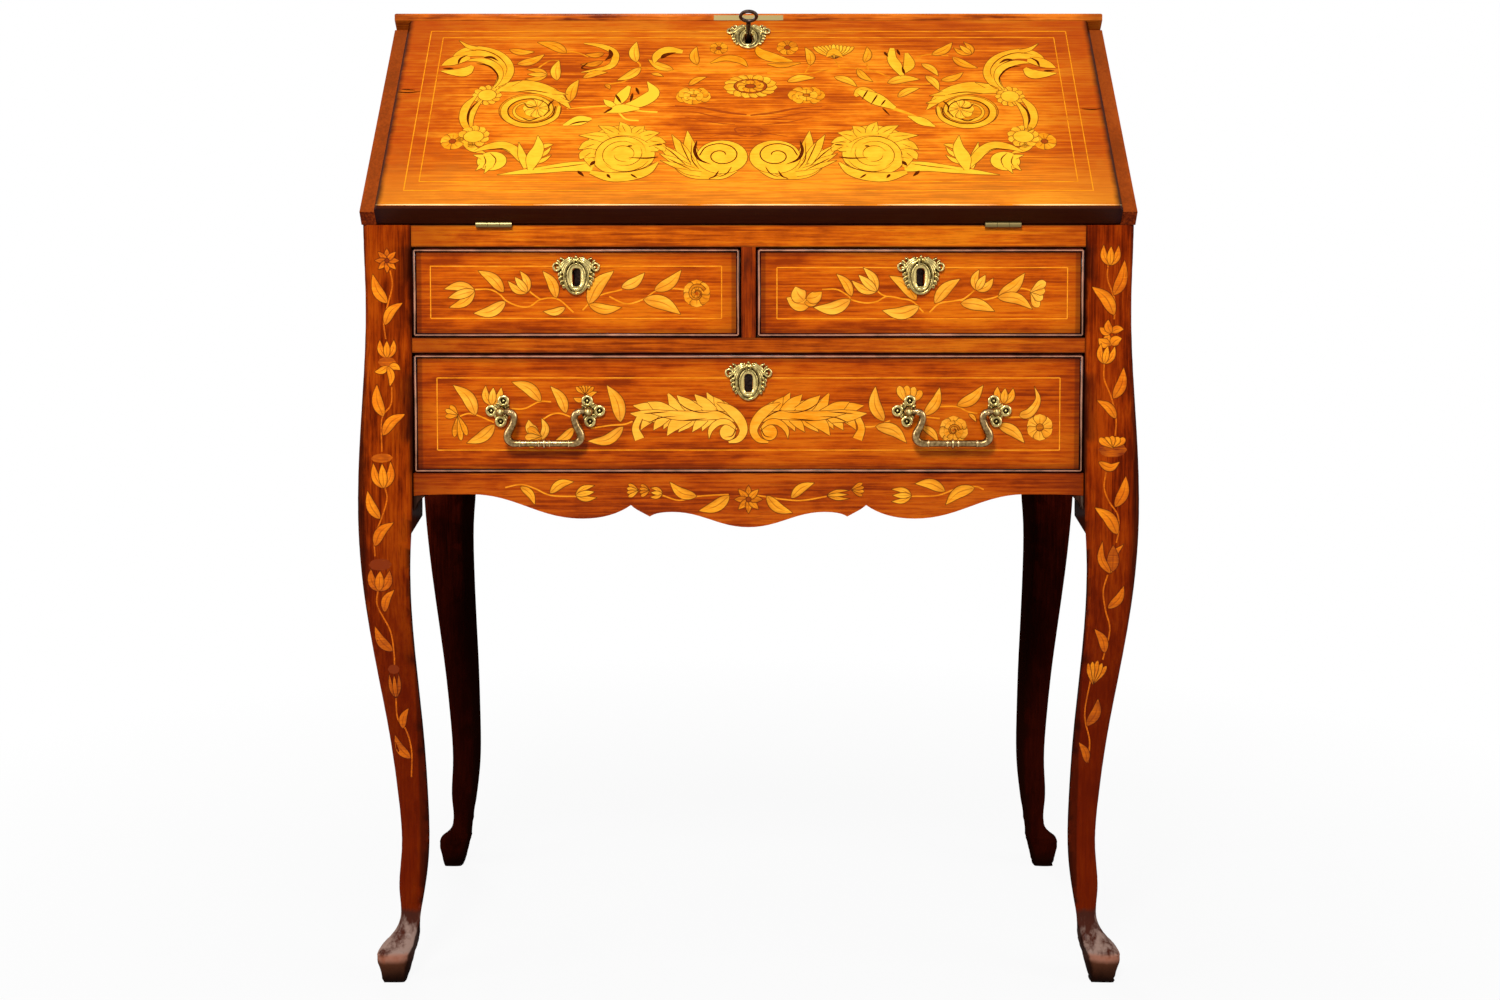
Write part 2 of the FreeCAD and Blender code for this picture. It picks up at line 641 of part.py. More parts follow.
def fall_stop():
    """A batten on the right side's inner face that the closed fall rests on."""
    batten = box(
        INNER_HALF - STOP_WIDTH, INNER_HALF,
        FALL_LENGTH * STOP_START_SHARE, FALL_LENGTH * STOP_END_SHARE, -STOP_DEPTH, 0,
    )
    return on_fall(batten)


def drawer_guides():
    """Strips beside the drawers, between the front and the rear legs."""
    x0, x1 = STILE_INNER - DRAWER_CLEARANCE + GUIDE_GAP, INNER_HALF - JOINT_GAP
    y0, y1 = LEG_BACK + JOINT_GAP, 2 * MIDDLE - LEG_BACK - JOINT_GAP
    strips = [box(x0, x1, y0, y1, z, z + GUIDE_HEIGHT) for z in (SMALL_BOTTOM, LONG_BOTTOM)]
    return strips + [mirror_x(strip) for strip in strips]


def case_boards():
    side = side_panel()
    save("right_side", side)
    save("left_side", mirror_x(side))
    save("top_board", top_board())
    save("fall_striker_plate", striker_plate())
    save("back_board", back_board())
    behind_rail = FACE + RAIL_THICKNESS + JOINT_GAP
    save("writing_bed", hinge_pockets(level_board(SMALL_TOP, BED_TOP, behind_rail)))
    save("dust_board", level_board(LONG_TOP, SMALL_BOTTOM, behind_rail))
    save("bottom_board", level_board(LONG_BOTTOM - BOTTOM_THICKNESS, LONG_BOTTOM, behind_rail))
    save("drawer_guides", *drawer_guides())
    stop = fall_stop()
    save("fall_stops", stop, mirror_x(stop))


# Hinges of the fall

def knuckle_spans():
    """The two outer knuckles and the middle one, along X from the hinge's middle."""
    third = HINGE_LENGTH / 3
    outer = (third / 2 + KNUCKLE_GAP / 2, HINGE_LENGTH / 2)
    inner = (-third / 2 + KNUCKLE_GAP / 2, third / 2 - KNUCKLE_GAP / 2)
    return [(-outer[1], -outer[0]), outer], [inner]


def leaf_solid(spans, thickness_low):
    """A hinge leaf about the hinge line: a flat plate along +Y with its knuckles."""
    half = HINGE_LENGTH / 2
    clear = KNUCKLE_RADIUS + KNUCKLE_CLEARANCE
    plate = box(-half, half, clear, HINGE_LEAF_WIDTH, thickness_low, thickness_low + HINGE_LEAF_THICKNESS)
    solid = plate
    for x0, x1 in spans:
        solid = solid.fuse([
            cylinder(KNUCKLE_RADIUS, V(x0, 0, 0), V(1, 0, 0), x1 - x0),
            box(x0, x1, 0, clear + 1, thickness_low, thickness_low + HINGE_LEAF_THICKNESS),
        ])
    bore = cylinder(HINGE_PIN_RADIUS + PIN_CLEARANCE, V(-HINGE_LENGTH, 0, 0), V(1, 0, 0), 2 * HINGE_LENGTH)
    return solid.removeSplitter().cut(bore)


def screw_solid():
    """A countersunk wood screw along -Z with its head flush at the origin."""
    head = Part.makeCone(SCREW_RADIUS, 2 * SCREW_RADIUS, SCREW_RADIUS, V(0, 0, -SCREW_RADIUS))
    return head.fuse(cylinder(SCREW_RADIUS, V(0, 0, 0), V(0, 0, -1), SCREW_LENGTH)).removeSplitter()


def screw_places():
    return [(side * SCREW_SPACING / 2, HINGE_LEAF_WIDTH * 0.62) for side in (-1, 1)]


def leaf_screws(x):
    """The screws of one case leaf."""
    placed = []
    for dx, dy in screw_places():
        screw = screw_solid()
        screw.translate(V(x + dx, HINGE_POINT.y + dy, BED_TOP))
        placed.append(screw)
    return placed


def fall_leaf_screws(x):
    """The screws of one leaf on the fall, in the fall's frame, heads on its inner face."""
    placed = []
    for dx, dy in screw_places():
        screw = screw_solid()
        screw.rotate(V(0, 0, 0), V(1, 0, 0), 180)
        screw.translate(V(x + dx, dy, BED_DROP))
        placed.append(screw)
    return placed


def hinges():
    outer, inner = knuckle_spans()
    case_leaves, fall_leaves, pins, case_screws, fall_screws = [], [], [], [], []
    for x in (-HINGE_OFFSET, HINGE_OFFSET):
        case_leaf = leaf_solid(outer, -BED_DROP - HINGE_LEAF_THICKNESS)
        case_leaf.translate(HINGE_POINT + V(x, 0, 0))
        case_leaves.append(case_leaf.cut(leaf_screws(x)))
        fall_leaf = leaf_solid(inner, BED_DROP)
        fall_leaf.translate(V(x, 0, 0))
        fall_leaves.append(on_fall(fall_leaf.cut(fall_leaf_screws(x))))
        start = HINGE_POINT + V(x - HINGE_LENGTH / 2, 0, 0)
        pins.append(cylinder(HINGE_PIN_RADIUS, start, V(1, 0, 0), HINGE_LENGTH))
        case_screws += leaf_screws(x)
        fall_screws += [on_fall(s) for s in fall_leaf_screws(x)]
    save("hinge_case_leaves", *case_leaves)
    save("hinge_fall_leaves", *fall_leaves)
    save("hinge_pins", *pins)
    save("hinge_case_screws", *case_screws)
    save("hinge_fall_screws", *fall_screws)


# The fall, its lock and its key

def keyhole(x, y, z0, z1):
    """A round hole with a slot under it, drawn in a fitting's own frame."""
    hole = cylinder(KEYHOLE_RADIUS, V(x, y, z0), V(0, 0, 1), z1 - z0)
    slot = box(x - KEYHOLE_SLOT_WIDTH / 2, x + KEYHOLE_SLOT_WIDTH / 2, y - KEYHOLE_DROP, y, z0, z1)
    return hole.fuse(slot).removeSplitter()


def lock_case_blank():
    half = LOCK_WIDTH / 2
    low = FALL_LENGTH - LOCK_HEIGHT
    return box(-half, half, low, FALL_LENGTH, LOCK_SINK, LOCK_SINK + LOCK_THICKNESS)


def fall_board():
    half = INNER_HALF - FALL_SIDE_GAP
    board = box(-half, half, FALL_FOOT_GAP, FALL_LENGTH, BED_DROP, FALL_THICKNESS)
    side_edges = [
        e for e in board.Edges
        if abs(e.BoundBox.ZMin - FALL_THICKNESS) < 0.01 and e.BoundBox.XLength < 0.01
    ]
    board = board.makeChamfer(FALL_EDGE_CHAMFER, side_edges)
    lock_room = box(
        -LOCK_WIDTH / 2, LOCK_WIDTH / 2, FALL_LENGTH - LOCK_HEIGHT, FALL_LENGTH,
        BED_DROP, LOCK_SINK + LOCK_THICKNESS,
    )
    board = board.cut([lock_room, keyhole(0, KEY_UP, BED_DROP, FALL_THICKNESS)])
    for x in (-HINGE_OFFSET, HINGE_OFFSET):
        span = HINGE_LENGTH / 2 + KNUCKLE_GAP
        knuckle = cylinder(KNUCKLE_RADIUS + KNUCKLE_CLEARANCE, V(x - span, 0, 0), V(1, 0, 0), 2 * span)
        leaf = box(
            x - HINGE_LENGTH / 2, x + HINGE_LENGTH / 2, 0, HINGE_LEAF_WIDTH,
            0, BED_DROP + HINGE_LEAF_THICKNESS,
        )
        board = board.cut([knuckle, leaf, *fall_leaf_screws(x)])
    return on_fall(board)


def lock_case():
    """A brass box with a slot for the bolt, a keyhole, and a drill pin that the key turns on."""
    wall = LOCK_WALL
    blank = lock_case_blank()
    bb = blank.BoundBox
    inside = box(
        bb.XMin + wall, bb.XMax - wall, bb.YMin + wall, bb.YMax - wall, bb.ZMin + wall, bb.ZMax - wall,
    )
    slot = box(
        -BOLT_WIDTH / 2 - BOLT_CLEARANCE, BOLT_WIDTH / 2 + BOLT_CLEARANCE, bb.YMax - 2 * wall, bb.YMax,
        BOLT_DEPTH - BOLT_CLEARANCE, BOLT_DEPTH + BOLT_THICKNESS + BOLT_CLEARANCE,
    )
    case = blank.cut([inside, slot, keyhole(0, KEY_UP, bb.ZMax - 2 * wall, bb.ZMax)])
    pin = cylinder(
        KEY_BORE_RADIUS - KEY_PIN_CLEARANCE, V(0, KEY_UP, bb.ZMin), V(0, 0, 1), LOCK_THICKNESS - wall,
    )
    return on_fall(case.fuse(pin).removeSplitter())


def lock_bolt():
    top = FALL_LENGTH - BOLT_CLEARANCE
    half = BOLT_WIDTH / 2
    return on_fall(box(-half, half, top - BOLT_LENGTH, top, BOLT_DEPTH, BOLT_DEPTH + BOLT_THICKNESS))


def key():
    """A barrel key standing out of the fall: bored stem, bit, and an oval bow across the desk."""
    low = LOCK_SINK + LOCK_WALL + BOLT_CLEARANCE
    collar = FALL_THICKNESS + KEY_STEM_OUT
    stem = cylinder(KEY_RADIUS, V(0, KEY_UP, low), V(0, 0, 1), collar - low)
    bore = cylinder(KEY_BORE_RADIUS, V(0, KEY_UP, low), V(0, 0, 1), LOCK_THICKNESS)
    bit = box(
        KEY_RADIUS * 0.8, KEY_BIT_REACH, KEY_UP - KEY_BIT_THICKNESS / 2, KEY_UP + KEY_BIT_THICKNESS / 2,
        low + LOCK_WALL, low + LOCK_WALL + KEY_BIT_LENGTH,
    )
    bow_centre = V(0, KEY_UP, collar + BOW_HALF_LENGTH)
    ring = Part.Ellipse(V(0, 0, 0), BOW_HALF_WIDTH - BOW_WIRE_RADIUS, BOW_HALF_LENGTH - BOW_WIRE_RADIUS)
    path = Part.Wire(ring.toShape())
    start = ring.value(0)
    section = Part.Wire(Part.Circle(start, V(0, 1, 0), BOW_WIRE_RADIUS).toShape())
    bow = path.makePipeShell([section], True, False)
    bow.rotate(V(0, 0, 0), V(1, 0, 0), 90)
    bow.translate(bow_centre)
    return on_fall(stem.cut(bore).fuse([bit.cut(bore), bow]).removeSplitter())


def fall():
    save("fall_board", fall_board())
    save("fall_lock_case", lock_case())
    save("fall_lock_bolt", lock_bolt())
    save("fall_key", key())
    plate = escutcheon()
    plate.translate(V(0, KEY_UP, FALL_THICKNESS))
    save("fall_escutcheon", on_fall(plate))


# Brass fittings, drawn with x right, y up and z outwards

def lobes(places, thickness):
    """A flat casting outline: discs joined into one plate."""
    discs = [cylinder(r, V(x, y, 0), V(0, 0, 1), thickness) for x, y, r in places]
    return discs[0].fuse(discs[1:]).removeSplitter()


def escutcheon():
    """A shell-crested keyhole plate: an oval round the keyhole, scrolled ears and a crest."""
    w, h = ESCUTCHEON_OVAL_WIDTH / 2, ESCUTCHEON_OVAL_HEIGHT / 2
    oval = Part.Ellipse(V(0, h, 0), V(w, 0, 0), V(0, 0, 0))
    body = Part.Face(Part.Wire(oval.toShape())).extrude(V(0, 0, ESCUTCHEON_THICKNESS))
    body.translate(V(0, -h / 4, 0))
    crest = (0, 0.44, 0.71)
    inner_ear = (0.57, 0.58, 0.54)
    ear = (1.14, 0.39, 0.57)
    cheek = (1.04, -0.17, 0.46)
    places = [crest] + [(s * x, y, r) for x, y, r in (inner_ear, ear, cheek) for s in (-1, 1)]
    ears = lobes([(x * w, y * h, r * w) for x, y, r in places], ESCUTCHEON_THICKNESS)
    plate = body.fuse(ears).removeSplitter()
    return plate.cut(keyhole(0, 0, 0, ESCUTCHEON_THICKNESS))


def rosette():
    """A three-lobed rosette behind a handle post."""
    reach = ROSETTE_LOBE_REACH
    places = [(0.0, 0.0, ROSETTE_RADIUS)]
    for angle in (70, 190, 310):
        a = math.radians(angle)
        places.append((reach * math.cos(a), reach * math.sin(a), ROSETTE_LOBE_RADIUS))
    hole = cylinder(POST_RADIUS, V(0, 0, 0), V(0, 0, 1), ROSETTE_THICKNESS)
    return lobes(places, ROSETTE_THICKNESS).cut(hole)


def post():
    """A handle post through the drawer front, with a ball at its end that the bail turns in."""
    back = -FRONT_THICKNESS - NUT_THICKNESS
    stem = cylinder(POST_RADIUS, V(0, 0, back), V(0, 0, 1), HANDLE_STANDOFF - back)
    ball = Part.makeSphere(POST_BALL_RADIUS, V(0, 0, HANDLE_STANDOFF))
    socket = cylinder(
        BAIL_PIVOT_RADIUS + BAIL_PIVOT_CLEARANCE, V(-POST_BALL_RADIUS, 0, HANDLE_STANDOFF), V(1, 0, 0),
        2 * POST_BALL_RADIUS,
    )
    return stem.fuse(ball).removeSplitter().cut(socket)


def nut():
    """The square nut on a post, behind the drawer front."""
    back = -FRONT_THICKNESS - NUT_THICKNESS
    blank = box(-NUT_RADIUS, NUT_RADIUS, -NUT_RADIUS, NUT_RADIUS, back, -FRONT_THICKNESS)
    hole = cylinder(POST_RADIUS, V(0, 0, back), V(0, 0, 1), NUT_THICKNESS)
    return blank.cut(hole)


def rounded_path(points, share=0.45):
    """Straight runs joined by tangent arcs, each as large as its two runs allow."""
    edges = []
    last = points[0]
    for before, here, after in zip(points, points[1:], points[2:]):
        to_before, to_after = before - here, after - here
        cut = share * min(to_before.Length, to_after.Length)
        half_turn = (math.pi - to_before.getAngle(to_after)) / 2
        radius = cut / math.tan(half_turn)
        start, end = here + to_before.normalize() * cut, here + to_after.normalize() * cut
        inward = (to_before + to_after).normalize()
        reach = math.hypot(radius, cut) - radius
        edges.append(Part.LineSegment(last, start).toShape())
        edges.append(Part.Arc(start, here + inward * reach, end).toShape())
        last = end
    edges.append(Part.LineSegment(last, points[-1]).toShape())
    return Part.Wire(edges)


def bail():
    """A swan-neck bail hanging from its two pivots, which turn in the posts."""
    span = HANDLE_SPAN / 2
    neck = span - POST_BALL_RADIUS - BAIL_POST_GAP
    drop = BAIL_DROP - BAIL_RADIUS
    left = [
        V(-neck, 0, 0), V(-BAIL_SHOULDER, 0, 0), V(-BAIL_SHOULDER, -drop * 0.30, 0),
        V(-BAIL_WAIST, -drop * 0.72, 0), V(-BAIL_WAIST + BAIL_RADIUS, -drop, 0), V(-BAIL_GRIP / 2, -drop, 0),
    ]
    right = [V(-p.x, p.y, 0) for p in reversed(left)]
    path = rounded_path(left[:-1] + right[1:])
    section = Part.Wire(Part.Circle(left[0], V(1, 0, 0), BAIL_RADIUS).toShape())
    tube = path.makePipeShell([section], True, False)
    reach = POST_BALL_RADIUS + BAIL_POST_GAP + BAIL_PIVOT_DEPTH
    start = V(-neck - reach, 0, 0)
    pivot = cylinder(BAIL_PIVOT_RADIUS, start, V(1, 0, 0), reach + BAIL_RADIUS)
    solid = tube.fuse([pivot, mirror_x(pivot)]).removeSplitter()
    solid.translate(V(0, 0, HANDLE_STANDOFF))
    return solid


# Drawers

def bead_strip(a, b, inward, depth):
    """One mitred length of cock bead from a to b, with a rounded front edge."""
    along = (b - a).normalize()
    back = V(0, depth, 0)
    quad = [a, b, b - along * BEAD_WIDTH + inward * BEAD_WIDTH, a + along * BEAD_WIDTH + inward * BEAD_WIDTH]
    strip = prism(quad, back)
    front = [
        e for e in strip.Edges
        if e.BoundBox.YLength < 0.01 and abs(e.BoundBox.YMin - a.y) < 0.01 and e.Length > 3 * BEAD_WIDTH
    ]
    return strip.makeFillet(BEAD_RADIUS, front)


def beads(x0, x1, z0, z1):
    y = FACE - BEAD_PROUD
    depth = FRONT_THICKNESS + BEAD_PROUD
    low_left, low_right = V(x0, y, z0), V(x1, y, z0)
    high_right, high_left = V(x1, y, z1), V(x0, y, z1)
    return [
        bead_strip(low_left, low_right, V(0, 0, 1), depth),
        bead_strip(low_right, high_right, V(-1, 0, 0), depth),
        bead_strip(high_right, high_left, V(0, 0, -1), depth),
        bead_strip(high_left, low_left, V(1, 0, 0), depth),
    ]


def drawer(name, left, right, bottom, top, posts=()):
    """A drawer for an opening: front, cock bead, lined box, lock and keyhole plate."""
    x0, x1 = left + DRAWER_CLEARANCE, right - DRAWER_CLEARANCE
    z0, z1 = bottom + DRAWER_RUN_GAP, top - DRAWER_CLEARANCE
    middle = (x0 + x1) / 2
    key_z = z1 - ESCUTCHEON_BELOW_TOP
    inner_y = FACE + FRONT_THICKNESS
    back_y = FACE + DRAWER_LENGTH
    lining = LINING_THICKNESS
    front = box(x0 + BEAD_WIDTH, x1 - BEAD_WIDTH, FACE, inner_y, z0 + BEAD_WIDTH, z1 - BEAD_WIDTH)
    front = front.cut(on_front(keyhole(0, 0, -FRONT_THICKNESS, 0), middle, key_z))
    for x, z in posts:
        front = front.cut(cylinder(POST_RADIUS, V(x, FACE, z), V(0, 1, 0), FRONT_THICKNESS))
    save(name + "_front", front)
    save(name + "_bead", *beads(x0, x1, z0, z1))
    side_top = z1 - SIDE_BELOW_FRONT
    save(
        name + "_sides",
        box(x0, x0 + lining, inner_y, back_y, z0, side_top),
        box(x1 - lining, x1, inner_y, back_y, z0, side_top),
    )
    floor = z0 + DRAWER_BOTTOM_RISE
    floor_top = floor + DRAWER_BOTTOM_THICKNESS
    save(name + "_bottom", box(x0 + lining, x1 - lining, inner_y, back_y, floor, floor_top))
    save(name + "_back", box(
        x0 + lining, x1 - lining, back_y - DRAWER_BACK_THICKNESS, back_y,
        floor_top, side_top - SIDE_BELOW_FRONT,
    ))
    half_lock = DRAWER_LOCK_WIDTH / 2
    lock_top = z1 - BEAD_WIDTH
    lock = box(
        middle - half_lock, middle + half_lock, inner_y, inner_y + DRAWER_LOCK_THICKNESS,
        lock_top - DRAWER_LOCK_HEIGHT, lock_top,
    )
    key_room = keyhole(0, 0, -FRONT_THICKNESS - DRAWER_LOCK_THICKNESS * 0.7, -FRONT_THICKNESS)
    save(name + "_lock", lock.cut(on_front(key_room, middle, key_z)))
    save(name + "_escutcheon", on_front(escutcheon(), middle, key_z))


def handles(z):
    """Both handles of the long drawer: rosettes, posts with nuts, and the two bails."""
    rosettes, posts = [], []
    for centre in (-HANDLE_OFFSET, HANDLE_OFFSET):
        for x in (centre - HANDLE_SPAN / 2, centre + HANDLE_SPAN / 2):
            rosettes.append(on_front(rosette(), x, z))
            posts += [on_front(post(), x, z), on_front(nut(), x, z)]
    save("handle_rosettes", *rosettes)
    save("handle_posts", *posts)
    save("left_bail", on_front(bail(), -HANDLE_OFFSET, z))
    save("right_bail", on_front(bail(), HANDLE_OFFSET, z))


def drawers():
    half_divider = DIVIDER_WIDTH / 2
    drawer("left_drawer", -STILE_INNER, -half_divider, SMALL_BOTTOM, SMALL_TOP)
    drawer("right_drawer", half_divider, STILE_INNER, SMALL_BOTTOM, SMALL_TOP)
    handle_z = LONG_TOP - DRAWER_CLEARANCE - HANDLE_BELOW_TOP
    posts = [
        (side * HANDLE_OFFSET + end * HANDLE_SPAN / 2, handle_z) for side in (-1, 1) for end in (-1, 1)
    ]
    drawer("long_drawer", -STILE_INNER, STILE_INNER, LONG_BOTTOM, LONG_TOP, posts)
    handles(handle_z)


# The gallery inside: a shelf on uprights, pigeonholes above, two small drawers below

def gallery():
    y0, y1 = fall_point(FALL_LENGTH, 0).y + GALLERY_GAP, BACK_FACE - JOINT_GAP
    wide = INNER_HALF - JOINT_GAP
    shelf_low = BED_TOP + (TOP_UNDER - BED_TOP) * GALLERY_DRAWER_SHARE
    shelf_top = shelf_low + GALLERY_BOARD
    save("gallery_shelf", box(-wide, wide, y0, y1, shelf_low, shelf_top))
    half_board = GALLERY_BOARD / 2
    upright_x = INNER_HALF * GALLERY_CENTRE_SHARE + half_board
    uprights = [
        box(x - half_board, x + half_board, y0, y1, BED_TOP, shelf_low) for x in (-upright_x, upright_x)
    ]
    pitch = 2 * wide / PIGEONHOLES
    dividers = []
    for i in range(1, PIGEONHOLES):
        x = -wide + i * pitch
        dividers.append(box(x - half_board, x + half_board, y0, y1, shelf_top, TOP_UNDER - JOINT_GAP))
    save("gallery_dividers", *uprights, *dividers)
    inner_drawer("inner_right_drawer", upright_x + half_board, INNER_HALF, y0, y1, shelf_low, 1)
    inner_drawer("inner_left_drawer", upright_x + half_board, INNER_HALF, y0, y1, shelf_low, -1)


def inner_drawer(name, x_left, x_right, y0, y1, top, side):
    """A small drawer under the shelf, drawn on the right and mirrored for the left."""
    x0, x1 = x_left + INNER_CLEARANCE, x_right - INNER_CLEARANCE
    z0, z1 = BED_TOP + DRAWER_RUN_GAP, top - INNER_CLEARANCE
    face = y0 + INNER_SETBACK
    inner_y = face + INNER_FRONT_THICKNESS
    back_y = y1 - 2 * INNER_CLEARANCE
    lining = INNER_LINING
    pieces = [
        box(x0, x1, face, inner_y, z0, z1),
        box(x0, x0 + lining, inner_y, back_y, z0, z1 - lining),
        box(x1 - lining, x1, inner_y, back_y, z0, z1 - lining),
        box(x0 + lining, x1 - lining, inner_y, back_y, z0, z0 + lining),
        box(x0 + lining, x1 - lining, back_y - lining, back_y, z0 + lining, z1 - lining),
    ]
    centre = V((x0 + x1) / 2, face, (z0 + z1) / 2)
    stem = cylinder(KNOB_STEM_RADIUS, centre, V(0, -1, 0), KNOB_LENGTH)
    ball = Part.makeSphere(KNOB_RADIUS, centre + V(0, KNOB_RADIUS - KNOB_LENGTH, 0))
    knob = stem.fuse(ball).removeSplitter()
    if side < 0:
        pieces = [mirror_x(p) for p in pieces]
        knob = mirror_x(knob)
    save(name + "_box", *pieces)
    save(name + "_knob", knob)


legs()
rails()
case_boards()
hinges()
fall()
drawers()
gallery()
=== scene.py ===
import json
import math

import bmesh
import bpy
from mathutils import Matrix, Vector
from mathutils.bvhtree import BVHTree


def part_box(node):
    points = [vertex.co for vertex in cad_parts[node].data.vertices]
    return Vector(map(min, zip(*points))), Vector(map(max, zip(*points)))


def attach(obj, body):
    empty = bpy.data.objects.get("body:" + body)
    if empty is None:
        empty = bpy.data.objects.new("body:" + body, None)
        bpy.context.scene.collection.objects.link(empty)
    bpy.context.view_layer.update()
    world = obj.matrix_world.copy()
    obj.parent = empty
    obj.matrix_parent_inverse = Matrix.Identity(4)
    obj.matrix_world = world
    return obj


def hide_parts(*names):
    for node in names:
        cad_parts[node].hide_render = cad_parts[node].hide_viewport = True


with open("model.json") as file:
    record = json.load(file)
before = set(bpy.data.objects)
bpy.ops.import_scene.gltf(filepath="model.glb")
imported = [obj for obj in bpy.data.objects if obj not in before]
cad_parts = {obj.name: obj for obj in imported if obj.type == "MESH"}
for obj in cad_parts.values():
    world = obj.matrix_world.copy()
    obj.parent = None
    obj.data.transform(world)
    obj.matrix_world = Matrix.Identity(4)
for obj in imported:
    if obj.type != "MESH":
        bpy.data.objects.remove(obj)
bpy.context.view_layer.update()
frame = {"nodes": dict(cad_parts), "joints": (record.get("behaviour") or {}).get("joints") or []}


# Legs: each stile and cabriole leg is one piece, sawn to a template and veneered in walnut.
# Painted shade darkens the walnut along the corner, on the inner faces and all over the rear legs; it is
# red-brown on the shins, and the bare feet are scuffed grey-brown.

MM = 0.001
nodes = frame["nodes"]


def linear(code):
    """An sRGB hex colour as linear light."""
    shares = [int(code[i:i + 2], 16) / 255 for i in (1, 3, 5)]
    return [s / 12.92 if s <= 0.04045 else ((s + 0.055) / 1.055) ** 2.4 for s in shares] + [1.0]


def add(tree, kind, inputs, stops=(), **settings):
    """Adds a node with its settings, and sets or links its inputs. stops are the colours of a ramp."""
    made = tree.nodes.new("ShaderNode" + kind)
    for name, value in settings.items():
        setattr(made, name, value)
    for key, value in inputs.items():
        if isinstance(value, bpy.types.NodeSocket):
            tree.links.new(value, made.inputs[key])
        else:
            made.inputs[key].default_value = value
    for i, (place, code) in enumerate(stops):
        elements = made.color_ramp.elements
        element = elements[i] if i < 2 else elements.new(place)
        element.position = place
        element.color = linear(code)
    return made


def new_material(name):
    """An empty material, its node tree and its shader."""
    made = bpy.data.materials.new(name)
    made.use_nodes = True
    return made, made.node_tree, made.node_tree.nodes["Principled BSDF"]


def per_mm(*sizes):
    """The scale of a pattern from the size of its grains in mm, one for each axis or one for all."""
    scales = [1 / (size * MM) for size in sizes]
    return scales if len(scales) > 1 else scales[0]


def shellac(shader, weight, rough=0.2):
    """Old shellac over wood: a thin clear coat gives the gleam, and the wood under it gives none."""
    shader.inputs["Specular IOR Level"].default_value = 0.0
    shader.inputs["Coat Weight"].default_value = weight
    shader.inputs["Coat Roughness"].default_value = rough


def walnut(name, dark, ground, light, place, turn=(90, 0, 0), grain=0, stains_and_painted_light=(), gloss=0.3, figure=70,
           polish=0.12):
    """Walnut veneer under old shellac: streaks along the grain, a broad figure, open pores, stained places,
    and painted shade and light.

    place in mm and turn in degrees set the board's own frame, x right, y up and z outwards.
    A stain is (axis, where it is full, where it ends, colour, strength, raggedness), in mm of that frame.
    Axes 3 to 5 are the way that a face looks in the desk's frame, in thousandths; most marks along these are
    painted shade and light.
    """
    made, tree, shader = new_material(name)
    board = add(tree, "Mapping", {
        "Vector": add(tree, "TexCoord", {}).outputs["Object"],
        "Location": [c * MM for c in place],
        "Rotation": [math.radians(a) for a in turn],
    }, vector_type="TEXTURE").outputs["Vector"]

    def streaks(across, length, detail):
        """Noise drawn out along the grain, its grains so many mm across and long."""
        sizes = [across] * 3
        sizes[grain] = length
        drawn = add(tree, "Mapping", {"Vector": board, "Scale": per_mm(*sizes)}).outputs["Vector"]
        noise = {"Vector": drawn, "Scale": 1.0, "Detail": detail, "Roughness": 0.62}
        return add(tree, "TexNoise", noise).outputs["Fac"]

    rings = streaks(2.4, 75, 6)
    broad = streaks(figure * 0.45, figure * 1.8, 3)
    # real pores are 0.2 mm wide: they are drawn 1.3 mm wide to show at all
    pores = streaks(1.3, 20, 2)
    wander = streaks(14, 26, 4)
    depth = 0.0
    for pattern, share in ((rings, 0.42), (broad, 0.4), (wander, 0.18)):
        depth = add(tree, "Math", {0: pattern, 1: share, 2: depth}, operation="MULTIPLY_ADD").outputs[0]
    tones = [(0.42, dark), (0.58, light), (0.5, ground)]
    colour = add(tree, "ValToRGB", {"Fac": depth}, tones).outputs["Color"]
    open_pores = add(tree, "MapRange", {
        "Value": pores, "From Min": 0.3, "From Max": 0.46, "To Min": 0.5, "To Max": 0.0,
    }).outputs["Result"]
    colour = add(tree, "Mix", {0: open_pores, 6: colour, 7: linear(dark)}, data_type="RGBA").outputs[2]
    axes = list(add(tree, "SeparateXYZ", {"Vector": board}).outputs)
    axes += add(tree, "SeparateXYZ", {"Vector": add(tree, "TexCoord", {}).outputs["Normal"]}).outputs
    for axis, full, end, code, strength, ragged in stains_and_painted_light:
        shifted = add(tree, "Math", {0: wander, 1: 2 * ragged * MM, 2: axes[axis]}, operation="MULTIPLY_ADD")
        fade = add(tree, "MapRange", {
            "Value": shifted.outputs[0], "From Min": (full + ragged) * MM, "From Max": (end + ragged) * MM,
            "To Min": strength, "To Max": 0.0,
        }, interpolation_type="SMOOTHSTEP").outputs["Result"]
        colour = add(tree, "Mix", {0: fade, 6: colour, 7: linear(code)}, data_type="RGBA").outputs[2]
    tree.links.new(colour, shader.inputs["Base Color"])
    rough = add(tree, "MapRange", {"Value": rings, "To Min": gloss - 0.06, "To Max": gloss + 0.12})
    tree.links.new(rough.outputs["Result"], shader.inputs["Roughness"])
    relief = add(tree, "Bump", {"Height": pores, "Strength": 0.12, "Distance": 0.25 * MM})
    tree.links.new(relief.outputs["Normal"], shader.inputs["Normal"])
    shellac(shader, polish)
    return made


def dress(material, *names):
    """Gives solids of the frame their finish."""
    for name in names:
        slots = nodes[name].data.materials
        slots.clear()
        slots.append(material)


def linked(mesh, name, materials):
    """A finished mesh as an object of the scene."""
    made = bpy.data.meshes.new(name)
    mesh.to_mesh(made)
    mesh.free()
    for material in materials:
        made.materials.append(material)
    piece = bpy.data.objects.new(name, made)
    bpy.context.scene.collection.objects.link(piece)
    return piece


